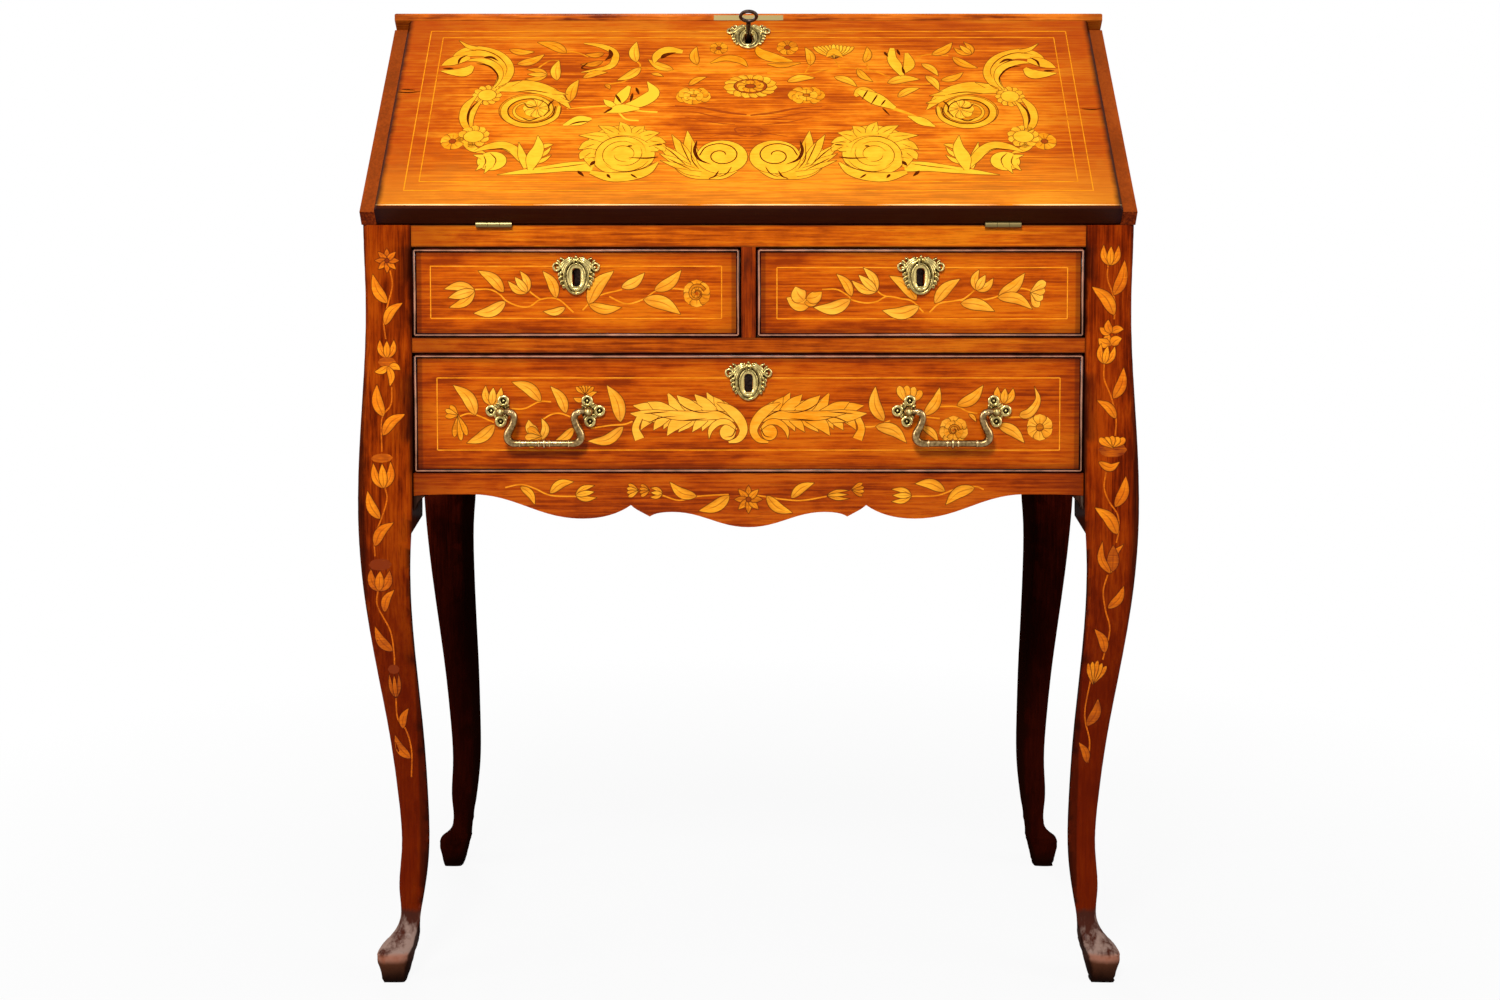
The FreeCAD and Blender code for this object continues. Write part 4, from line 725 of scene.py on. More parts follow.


# Drawers: walnut-veneered fronts framed by a dark cock bead, with linings of bare oak glued behind.
# The veneer is darker and redder round its rim, where polish and wax have gathered, with a thin line of
# painted shade inside the bead.

def bead_wood(name):
    """Stained beech, polished: dark red-brown, paler on the crown where the bead faces forwards, partly from
    rubbing and partly as a painted highlight.
    """
    made, tree, shader = new_material(name)
    here = add(tree, "TexCoord", {}).outputs["Object"]
    # rubbed places 17 mm long
    drawn = add(tree, "Mapping", {"Vector": here, "Scale": per_mm(16.67, 5, 16.67)}).outputs["Vector"]
    rubbed = add(tree, "TexNoise", {"Vector": drawn, "Scale": 1.0, "Detail": 4}).outputs["Fac"]
    colour = add(tree, "ValToRGB", {"Fac": rubbed}, [(0.4, "#180402"), (0.75, "#42100A")]).outputs["Color"]
    # paler where the bead faces the front: partly rubbed wear, partly a painted highlight
    outwards = add(tree, "SeparateXYZ", {"Vector": add(tree, "TexCoord", {}).outputs["Normal"]}).outputs["Y"]
    crown = add(tree, "MapRange", {
        "Value": outwards, "From Min": -0.93, "From Max": -0.985,
    }).outputs["Result"]
    bare = add(tree, "MapRange", {
        "Value": rubbed, "From Min": 0.35, "From Max": 0.62, "To Min": 0.45, "To Max": 0.8,
    }).outputs["Result"]
    crown = add(tree, "Math", {0: crown, 1: bare}, operation="MULTIPLY").outputs[0]
    colour = add(tree, "Mix", {0: crown, 6: colour, 7: linear("#CC9070")}, data_type="RGBA").outputs[2]
    tree.links.new(colour, shader.inputs["Base Color"])
    shellac(shader, 0.16, 0.15)
    return made


def ring_edges(verts):
    """The edges that join the vertices of one ring."""
    ring = set(verts)
    edges = dict.fromkeys(edge for vert in verts for edge in vert.link_edges)
    return [edge for edge in edges if ring.issuperset(edge.verts)]


def rod(mesh, path, radii, sides=10, closed=False):
    """A round bar in the plane of a fitting: rings set along a path and bridged one to the next."""
    path = [Vector((x, y, z)) for x, y, z in path]
    count = len(path)
    out = Vector((0, 0, 1))
    rings = []
    for i, spot in enumerate(path):
        if closed:
            heading = path[(i + 1) % count] - path[i - 1]
        else:
            heading = path[min(i + 1, count - 1)] - path[max(i - 1, 0)]
        heading = heading.normalized()
        across = heading.cross(out).normalized()
        place = Matrix((across, out, heading)).transposed().to_4x4()
        place.translation = spot
        ring = bmesh.ops.create_circle(mesh, segments=sides, radius=radii[i % len(radii)], matrix=place)
        rings.append(ring["verts"])
    pairs = list(zip(rings, rings[1:]))
    if closed:
        pairs.append((rings[-1], rings[0]))
    for a, b in pairs:
        bmesh.ops.bridge_loops(mesh, edges=ring_edges(a) + ring_edges(b))
    if not closed:
        for end in (rings[0], rings[-1]):
            bmesh.ops.edgeloop_fill(mesh, edges=ring_edges(end))


def placed(mesh, name, body, place, materials, slot, *replaced):
    """Ends a fitting: moves it from its own mm frame to its place and lets it ride."""
    bmesh.ops.recalc_face_normals(mesh, faces=mesh.faces)
    bmesh.ops.transform(mesh, matrix=place @ Matrix.Scale(MM, 4), verts=mesh.verts)
    return shown(mesh, name, body, materials, slot, *replaced)


upright = Matrix.Rotation(math.radians(90), 4, "X")     # turns a fitting's outward z to the front
BEAD_RADIUS, BEAD_CORNER = 2.1, 1.2
polished_bead = bead_wood("stained_beech_bead")
small_tones, long_tones = ("#862E02", "#BA4E05", "#CE680A"), ("#7C2802", "#B04604", "#C45E0A")
for name, tones in (("left_drawer", small_tones), ("right_drawer", small_tones), ("long_drawer", long_tones)):
    front = name + "_front"
    half_x, half_y = halves_mm(front)
    waxy = rims(half_x, half_y, 30, "#7A2402", 0.35)
    # painted shade: a thin near-black line just inside the bead
    painted_bead_shade = rims(half_x - 4, half_y - 4, 2.0, SHADE_BLACK, 0.4)
    dress(walnut("walnut_" + name, *tones, middle_mm(front), gloss=0.29, stains_and_painted_light=waxy + painted_bead_shade), front)
    dress(bare_oak, name + "_sides", name + "_bottom", name + "_back")
    bead = name + "_bead"
    half_x, half_y = [half - BEAD_RADIUS - BEAD_CORNER for half in halves_mm(bead)]
    path = []
    for i, (x, y) in enumerate(((half_x, half_y), (-half_x, half_y), (-half_x, -half_y), (half_x, -half_y))):
        for turn in (-20, 20):
            a = math.radians(45 + 90 * i + turn)
            path.append((x + BEAD_CORNER * math.cos(a), y + BEAD_CORNER * math.sin(a), 0))
    mesh = bmesh.new()
    rod(mesh, path, [BEAD_RADIUS], 12, True)
    low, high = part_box(bead)
    spot = Matrix.Translation(((low.x + high.x) / 2, low.y + BEAD_RADIUS * MM, (low.z + high.z) / 2))
    placed(mesh, name + "_round_bead", name, spot @ upright, [polished_bead], "dark_bead", bead)

drawer_woods = woods("drawers", "#FFB43A", "#E88A14", "#9A4608")
sprig = Marquetry(on_face)
sprig.string(-319.6, -27, 686, 738.4)
sprig.stems(
    ((-275, 715), (-260, 715), (-250, 710), (-244, 704), (-232, 698.5), (-220, 698), (-209, 705),
     (-192, 705.5), (-176, 692)),
    ((-220, 713), (-215, 709), (-209, 705)), ((-167, 694), (-152, 708), (-127, 715)),
    ((-140, 708), (-128, 702), (-118, 701), (-104, 706), (-94, 713), (-80, 716), (-64, 715)),
    tone=0.4,
)
sprig.leaves(((-246, 712), (-272, 734)), ((-193, 706), (-207, 734)), ((-95, 714), (-67, 735)),
             bend=-0.1, tone=0.55)
sprig.leaves(((-244, 703), (-277, 691)), ((-184, 697), (-207, 693)), bend=0.12, tone=0.7)
sprig.leaves(((-161, 700), (-135, 734)), ((-106, 705), (-68, 690)), bend=0.1, tone=0.6)
sprig.leaf((-161, 700), (-127, 697), 11, -0.1)
sprig.leaf((-128, 717), (-104, 732), 11, -0.1, tone=0.75)
sprig.tulip((-275, 714), (-304, 706), 23, 0.6)
sprig.tulip((-222, 712), (-236, 729), 19, 0.6)
sprig.bloom((-52, 711), 14, 6, tone=0.4, heart=0)
sprig.curl((-52, 711), (9, 2), 20, 1.4, 4, tone=0.2, level=2)
sprig.let_in("left_drawer_marquetry", "left_drawer", drawer_woods)

sprig = Marquetry(on_face)
sprig.string(28.6, 320.6, 685.6, 737)
sprig.stems(
    ((74, 715), (89, 715), (101, 708), (103, 705), (117, 701.5), (129, 703), (139, 708), (153, 706),
     (165, 703), (176, 692)),
    ((130, 713), (134, 710), (139, 708)), ((182, 692), (192, 701), (207, 703.5), (217, 706), (227, 714)),
    ((213, 704), (237, 705), (250, 708), (263, 714.5), (275, 716), (284, 714)),
    tone=0.4,
)
sprig.leaves(((104, 708), (88, 731)), ((169, 704), (141, 729)), ((251, 709), (278, 732)), bend=-0.1, tone=0.6)
sprig.leaves(((103, 705), (65, 697)), ((172, 698), (134, 694)), bend=0.13, tone=0.75)
sprig.leaves(((187, 701), (213, 726)), ((213, 701), (248, 693)), bend=0.08, tone=0.6)
sprig.leaf((250, 707), (286, 695), 12, 0.14)
sprig.tulip((129, 713), (109, 731), 21, 0.7)
sprig.tulip((229, 714), (239, 731), 20, 0.6)
sprig.fan((284, 713), (298, 709), 26, 4, 0.7)
sprig.leaf((62, 700), (38, 707), 16, 0.1, tone=0.6)
sprig.leaf((56, 704), (47, 718), 17, 0.1, 2, 0.65)
sprig.leaf((58, 706), (74, 713), 13, -0.15, 2, 0.55)
sprig.leaf((56, 702), (72, 704), 8, -0.1, 1, 0.5)
sprig.let_in("right_drawer_marquetry", "right_drawer", drawer_woods)

sprig = Marquetry(on_face)
sprig.string(-314, 314, 553, 626)
sprig.stems(
    ((-294, 586), (-283, 590), (-273, 588), (-257, 581)),
    ((-239, 595), (-226, 595), (-211, 602), (-199, 602)),
    ((-209, 583), (-199, 589), (-189, 590), (-176, 585)),
    ((-159, 575), (-140, 578), (-126, 579), (-117, 582)),
    ((110, 577), (127, 577), (143, 583)), ((174, 587), (193, 585)),
    ((190, 597), (210, 597), (221, 592), (231, 590)),
    ((261, 586), (278, 586), (289, 582)),
    tone=0.4,
)
sprig.leaves(((-275, 588), (-298, 619)), ((-209, 602), (-239, 622)), tone=0.6, bend=-0.12)
sprig.leaves(((-256, 579), (-285, 560)), ((-176, 576), (-198, 560)), tone=0.6, bend=0.1)
sprig.leaves(((-184, 590), (-200, 618)), ((-129, 581), (-143, 619)), tone=0.6, bend=-0.1)
sprig.leaf((-126, 577), (-163, 562), 12, 0.16, tone=0.6)
sprig.tulip((-259, 598), (-257, 618), 19, 0.6)
sprig.fan((-293, 588), (-306, 594), 12, 3, 0.35)
sprig.fan((-293, 588), (-290, 562), 13, 3, 0.35)
sprig.leaf((-212, 570), (-222, 584), 12, 0.2, tone=0.75)
sprig.leaf((-210, 563), (-209, 586), 9, -0.2, tone=0.7)
sprig.fan((-209, 566), (-226, 566), 18, 3, 0.4)
sprig.fan((-165, 609), (-165, 619), 18, 6, 0.2)
sprig.leaves(((-166, 604), (-177, 606)), ((-164, 604), (-152, 612)), width=6, tone=0.4)
sprig.leaves(((137, 582), (128, 618)), ((128, 577), (160, 560)), tone=0.6, bend=0.14)
sprig.leaves(((177, 588), (193, 617)), ((210, 598), (237, 619)), tone=0.55, bend=-0.12)
sprig.leaves(((251, 579), (279, 560)), ((175, 577), (192, 561)), tone=0.65, bend=0.1)
sprig.lay([(273, 588), (284, 591), (292, 604), (288, 618)], 10, SICKLE, 1, 0.65, LEAF_WOOD)
sprig.leaf((222, 590), (230, 581), 5, 0.1)
sprig.bloom((207, 573), 15, 7, tone=0.6, heart=0)
sprig.bloom((207, 573), 10, 5, turn=50, tone=0.5, heart=0, level=2)
sprig.curl((207, 573), (6, 1.5), 0, 1.2, 3, tone=0.2, level=3)
sprig.fan((160, 600), (164, 619), 24, 4, 0.5)
sprig.tulip((257, 600), (259, 617), 19, 0.5)
sprig.bloom((294, 576), 13.5, 6, tone=0.55)
for hand, shine in ((-1, 0.75), (1, 0.5)):
    def at(*points):
        """Points given on the right half, set on this hand."""
        return [(hand * x, y) for x, y in points]

    for line, widths, level in (
        # lobes above the spine, from the middle outwards
        (((16, 588), (22, 597), (26, 603)), (9, 8, 1), 1),
        (((22, 590), (30, 600), (35, 607)), (10, 10, 1), 2),
        (((28, 591), (36, 601), (42, 611)), (12, 11, 2), 1),
        (((36, 592), (46, 601), (54, 609)), (12, 12, 2), 2),
        (((46, 592), (55, 599), (61, 604)), (10, 9, 1), 1),
        (((50, 591), (63, 600), (72, 608)), (13, 12, 2), 2),
        (((56, 590), (72, 596), (81, 610)), (14, 14, 3), 1),
        (((74, 588), (90, 596), (102, 602)), (12, 13, 1), 2),
        (((78, 588), (100, 595), (116, 598)), (13, 13, 2), 1),
        (((84, 586), (102, 588), (119, 590)), (12, 12, 2), 2),
        # lobes below it
        (((36, 586), (43, 580), (47, 572)), (9, 9, 1), 1),
        (((44, 586), (51, 579), (57, 571)), (10, 9, 1), 2),
        (((52, 587), (63, 579), (71, 571)), (11, 10, 1), 1),
        (((60, 587), (74, 579), (82, 568)), (12, 13, 2), 2),
        (((72, 588), (81, 582), (86, 574)), (10, 9, 1), 1),
        (((82, 588), (91, 580), (96, 573)), (10, 9, 1), 2),
        (((92, 590), (103, 582), (109, 573)), (10, 9, 1), 1),
        (((110, 586), (114, 575), (110, 564)), (7, 8, 11), 2),
        # spine, volute and the hook beside it
        (((10, 584), (26, 588), (48, 588), (72, 588), (98, 592)), (8, 9, 10, 10, 5), 3),
        (((32, 601), (19, 594), (9, 584), (5, 573), (10, 564), (20, 561)), (2, 10, 11, 9, 7, 3), 4),
        (((40, 564), (38, 574), (30, 581), (20, 581), (12, 574)), (1, 6, 7, 6, 3), 4),
    ):
        sprig.mass(at(*line), widths, shine, level)
    sprig.disc(at((21, 571))[0], 8.5, 8.5, shine, 3)
    for points in (
        ((74, 604), (62, 595), (48, 591), (36, 592)), ((34, 594), (24, 590), (14, 583)),
        ((66, 583), (54, 584), (42, 585)),
        ((106, 590), (92, 591), (80, 592)), ((102, 580), (88, 586), (72, 587)),
        ((12, 578), (16, 568), (24, 566)),
    ):
        sprig.cut(*at(*points))
sprig.let_in("long_drawer_marquetry", "long_drawer", drawer_woods)


# Keyhole plates: cast brass, an oval ring round the keyhole between scrolled ears under a crest of leaves.
# They are pinned to the drawer fronts and the fall, and rubbed bright over a dark patina; the hollows also
# carry painted shade, and the keyhole a near-black lining.

def brass(name, dark, ground, bright, rough):
    """Cast brass: bare metal on the high places, brown patina in the hollows."""
    made, tree, shader = new_material(name)
    raised = add(tree, "NewGeometry", {}).outputs["Pointiness"]
    worn = add(tree, "MapRange", {"Value": raised, "From Min": 0.47, "From Max": 0.62}).outputs["Result"]
    here = add(tree, "TexCoord", {}).outputs["Object"]
    # spots of tarnish 3 mm across
    tarnish = add(tree, "TexNoise", {"Vector": here, "Scale": per_mm(3.03), "Detail": 3}).outputs["Fac"]
    mixed = add(tree, "Math", {0: tarnish, 1: 0.5, 2: worn}, operation="MULTIPLY_ADD").outputs[0]
    tones = [(0.34, dark), (0.98, bright), (0.66, ground)]
    colour = add(tree, "ValToRGB", {"Fac": mixed}, tones).outputs["Color"]
    tree.links.new(colour, shader.inputs["Base Color"])
    shader.inputs["Metallic"].default_value = 1.0
    shader.inputs["Roughness"].default_value = rough
    return made


# the finishes of a casting, and their places in the list
cast_brass = [
    brass("cast_brass", "#181005", "#5C491E", "#CCB674", 0.24),
    # the web in the hollows: dark patina, with painted shade in the recesses
    brass("cast_brass_patina_and_shade", "#0C0803", "#261C0C", "#4A3E1E", 0.4),
    # painted shade: a near-black lining for the dark inside of the keyhole
    brass("keyhole_shade_black", "#030201", "#060403", "#0A0705", 0.7),
]
BRIGHT, HOLLOW, KEYHOLE_SHADE = 0, 1, 2


def lobe(mesh, x, y, z, length, width, height, angle, finish=BRIGHT):
    """A rounded leaf of a casting: a ball drawn out along a direction."""
    place = Matrix.Translation((x, y, z)) @ Matrix.Rotation(math.radians(angle), 4, "Z")
    place = place @ Matrix.Diagonal((length / 2, width / 2, height / 2, 1))
    ball = bmesh.ops.create_uvsphere(mesh, u_segments=12, v_segments=8, radius=1, matrix=place)["verts"]
    for face in {face for vert in ball for face in vert.link_faces}:
        face.material_index = finish


def oval(rx, ry, x, y, z, count):
    """Points round an oval of a casting."""
    turns = [2 * math.pi * i / count for i in range(count)]
    return [(x + rx * math.cos(turn), y + ry * math.sin(turn), z) for turn in turns]


RIM_SEGMENTS = 28
PLATE_BACK, PLATE_THICK, SLEEVE_DEPTH = 0.2, 1.2, 9


def keyhole_plate():
    """The casting about its keyhole: x right, y up and z outwards, in mm."""
    mesh = bmesh.new()
    hole = bmesh.ops.create_circle(mesh, segments=RIM_SEGMENTS, radius=1)["verts"]
    for vert in hole:
        x, y = [math.copysign(abs(c) ** power, c) for c, power in zip(vert.co, (0.4, 0.45))]
        vert.co = (4.2 * x, -4.8 + 9.2 * y, PLATE_BACK)
    rim = bmesh.ops.create_circle(mesh, segments=RIM_SEGMENTS, radius=1)["verts"]
    for vert in rim:
        vert.co = (13 * vert.co.x, -5.5 + 17 * vert.co.y, PLATE_BACK)
    web = bmesh.ops.bridge_loops(mesh, edges=ring_edges(hole) + ring_edges(rim))["faces"]
    raised = bmesh.ops.extrude_face_region(mesh, geom=web)["geom"]
    sleeve = bmesh.ops.extrude_edge_only(mesh, edges=ring_edges(hole))["geom"]
    for drawn, depth in ((raised, PLATE_THICK), (sleeve, -SLEEVE_DEPTH)):
        ends = [part for part in drawn if isinstance(part, bmesh.types.BMVert)]
        bmesh.ops.translate(mesh, vec=(0, 0, depth), verts=ends)
    for face in mesh.faces:
        face.material_index = KEYHOLE_SHADE if face in sleeve else BRIGHT
    rod(mesh, oval(12.0, 16.6, 0, -4.5, 1.8, RIM_SEGMENTS), [1.7], 10, True)
    rod(mesh, oval(8.7, 13.2, 0, -4.5, 1.9, RIM_SEGMENTS), [1.2], 8, True)
    chin = [(x, -15.4 - 1.4 * math.cos(x / 2.6), 2.0) for x in (-3.6, -1.8, 0, 1.8, 3.6)]
    rod(mesh, chin, [0.7, 1.2, 1.4, 1.2, 0.7], 8)
    leaves = [
        (12.0, 5.0, 0.9, 17, 9, 2.0, 138, HOLLOW),      # web of metal under the bands
        (18.6, 5.0, 2.0, 3.0, 3.0, 3.4, 0, BRIGHT),     # ball in the ear
        (17.4, 10.6, 2.2, 6.0, 3.2, 3.4, 60, BRIGHT),
        (14.0, 13.4, 2.2, 5.6, 3.0, 3.4, 30, BRIGHT),
        (6.0, 14.4, 2.2, 5.6, 3.0, 3.4, 20, BRIGHT),
        (1.9, 10.6, 2.9, 9.6, 3.3, 4.2, 90, BRIGHT),    # crest
    ]
    for i in range(4):                                  # cheeks beside the ring
        lean = 12 - 15 * i
        a = math.radians(lean)
        x, y = (16.4 - 0.5 * i) * math.cos(a), -4.6 + 17.0 * math.sin(a)
        leaves.append((x, y, 1.9, 7.4 - 0.6 * i, 3.8, 3.6, lean - 55, BRIGHT))
    for side in (-1, 1):
        # three bands sweep from the crest to the ear, which is an open ring
        for band in range(3):
            rx, ry = 14.6 + 2.4 * band, 16.8 + 1.5 * band
            turns = [math.radians(80 - (66 - 12 * band) * i / 8) for i in range(9)]
            reach = [(side * rx * math.cos(a), -4.6 + ry * math.sin(a), 2.0 + 0.25 * band) for a in turns]
            rod(mesh, reach, [0.7, 1.1, 1.4, 1.5, 1.5, 1.5, 1.4, 1.2, 0.8], 8)
        rod(mesh, oval(side * 3.2, 3.6, side * 19.6, 5.6, 2.2, 16), [1.25], 8, True)
        for x, y, z, length, width, height, angle, finish in leaves:
            lobe(mesh, side * x, y, z, length, width, height, angle if side > 0 else 180 - angle, finish)
    lobe(mesh, 0, 15.4, 2.4, 4.4, 3.0, 3.4, 90)
    return mesh


KEYHOLE_DROP = 24.5     # mm from the top of a drawer's bead to its keyhole
for name in ("left_drawer", "right_drawer", "long_drawer"):
    low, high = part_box(name + "_escutcheon")
    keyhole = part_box(name + "_bead")[1].z - KEYHOLE_DROP * MM
    spot = Matrix.Translation(((low.x + high.x) / 2, face_y, keyhole))
    placed(keyhole_plate(), name + "_keyhole_plate", name, spot @ upright, cast_brass, "brass_fittings",
           name + "_escutcheon")


# Handles of the long drawer: each has two cast rosettes of three ringed lobes, turned posts bolted through
# the front with square nuts, and a swan-neck bail with a collar in the middle of its grip.

joints = {joint["name"]: joint for joint in frame["joints"]}
POST_SPAN = 88.0        # mm between a handle's two posts
dress(brass("turned_brass", "#33270F", "#8A7440", "#C9B47C", 0.34), "handle_posts")
for hand in ("left", "right"):
    pivot = Vector(joints[hand + "_bail_swing"]["pos_m"])
    for end, side in (("left", -1), ("right", 1)):
        mesh = bmesh.new()
        lobe(mesh, 0, 0, 1.4, 17, 17, 3.6, 0, HOLLOW)
        for angle in (80, 178, 265):
            a = math.radians(angle if side < 0 else 180 - angle)
            x, y = 10.5 * math.cos(a), 10.5 * math.sin(a)
            rod(mesh, oval(4.3, 4.3, x, y, 2.6, 18), [1.9], 8, True)
            lobe(mesh, x, y, 1.2, 8, 8, 2.2, 0, HOLLOW)
            lobe(mesh, x, y, 2.2, 3.2, 3.2, 2.6, 0)
            for turn in (-40, 40):
                b = a + math.radians(turn)
                lobe(mesh, 7.0 * math.cos(b), 7.0 * math.sin(b), 2.4, 6.5, 3.0, 3.4, math.degrees(b))
        spot = Matrix.Translation((pivot.x + side * POST_SPAN / 2 * MM, face_y, pivot.z))
        name = hand + "_handle_rosette_" + end
        placed(mesh, name, "long_drawer", spot @ upright, cast_brass, "brass_fittings")
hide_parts("handle_rosettes")

BAIL_STEPS, GRIP = 40, -31.8
bail_brass = [brass("handled_brass", "#22180C", "#6A5230", "#C4A674", 0.25)]
# half of the bail, from its end in a post to the middle of its grip: where it bends and how thick it is there
bends = [Vector(place) for place in (
    (-47.3, 0.0), (-43.0, 0.0), (-36.0, 0.3), (-31.5, -1.8), (-30.0, -7.0), (-32.4, -14.5),
    (-36.4, -22.0), (-36.2, -28.0), (-31.0, -31.6), (-22.0, GRIP), (-12.0, GRIP), (0.0, GRIP),
)]
thick = [1.55, 1.55, 3.2, 3.7, 3.8, 4.0, 4.4, 4.4, 4.0, 3.5, 3.4, 3.4]
line, radii = [], []
for i in range(BAIL_STEPS + 1):
    share = i / BAIL_STEPS
    line.append(along(bends, share)[0])
    reach = share * (len(thick) - 1)
    bend = min(int(reach), len(thick) - 2)
    radii.append(thick[bend] + (thick[bend + 1] - thick[bend]) * (reach - bend))
line += [Vector((-p.x, p.y)) for p in reversed(line[:-1])]
radii += list(reversed(radii[:-1]))
for hand in ("left", "right"):
    pivot = Vector(joints[hand + "_bail_swing"]["pos_m"])
    mesh = bmesh.new()
    rod(mesh, [(p.x, p.y, 0.0) for p in line], radii, 12)
    for x, size in ((0, 5.2), (-5.4, 4.3), (5.4, 4.3), (-24.5, 4.4), (24.5, 4.4)):
        lobe(mesh, x, GRIP, 0, size * 0.9, size * 2, size * 2, 0)
    for side in (-1, 1):
        lobe(mesh, side * 33.6, -1.0, 0.6, 8.0, 6.6, 6.6, 0)
        lobe(mesh, side * 36.6, -23.5, 0.4, 6.2, 7.6, 7.0, 70)
    placed(mesh, hand + "_swan_neck_bail", hand + "_bail", Matrix.Translation(pivot) @ upright, bail_brass,
           "brass_fittings", hand + "_bail")


# Fall: a clamped board veneered in walnut, faded orange by the light, with two lines of stringing
# and a large floral marquetry. Its lower edge and ends are painted dark as shade, a pale line above that edge
# is wear with a painted highlight, and its side edges are chipped.

hinge = Vector(joints["fall_hinge"]["pos_m"])
fall_out = Vector(joints["key_turn"]["axis"]).normalized()
fall_up = fall_out.cross(Vector((1, 0, 0)))
slope = math.degrees(math.atan2(fall_up.z, fall_up.y))
fall_face = max((v.co - hinge).dot(fall_out) for v in nodes["fall_board"].data.vertices)


def on_fall(x, y, out):
    """The outer face of the closed fall: y runs up the slope from the hinge line."""
    return hinge + Vector((x * MM, 0, 0)) + fall_up * y * MM + fall_out * (fall_face + out * MM)


fall_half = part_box("fall_board")[1].x / MM
dress(walnut("walnut_fall", "#983A03", "#CC6007", "#E28818", hinge / MM, (slope, 0, 0), figure=95, stains_and_painted_light=[
    # redder towards the sides and the top, and paler by the lower edge, partly faded and partly a painted
    # sheen
    (0, -372, -250, "#9A3403", 0.7, 30), (0, 372, 270, "#9A3403", 0.65, 30),
    (1, 292, 215, "#9C3A04", 0.6, 26), (1, 10, 100, "#E09026", 0.36, 50),
    # the side edges, dark from handling and as painted shade of the gaps; the lower lip and the ends as
    # painted shade; and the inner face
    (0, 1 - fall_half, 9 - fall_half, "#220A03", 0.9, 3),
    (0, fall_half - 1, fall_half - 9, "#220A03", 0.9, 3),
    (1, 4.6, 5.2, "#2A0402", 0.97, 0.4),
    (3, -900, -600, "#2A0402", 0.92, 0), (3, 900, 600, "#2A0402", 0.92, 0),
    (4, 700, 500, "#6E2A08", 0.6, 0),
]), "fall_board")
# a pale line above the lower edge: wear on the arris with a painted highlight
edge_line = Marquetry(on_fall)
for start, end in ((-371, -236), (-214, -60), (-48, 95), (128, 250), (262, 371)):
    edge_line.lay([(start, 6.0), (end, 6.0)], 1.3, LEAF, 0, 0.8)
edge_line.let_in("fall_lower_edge_highlight", "fall", woods("worn_and_highlit_edge", "#FFE0A6", "#F0B468", "#9A4608"))

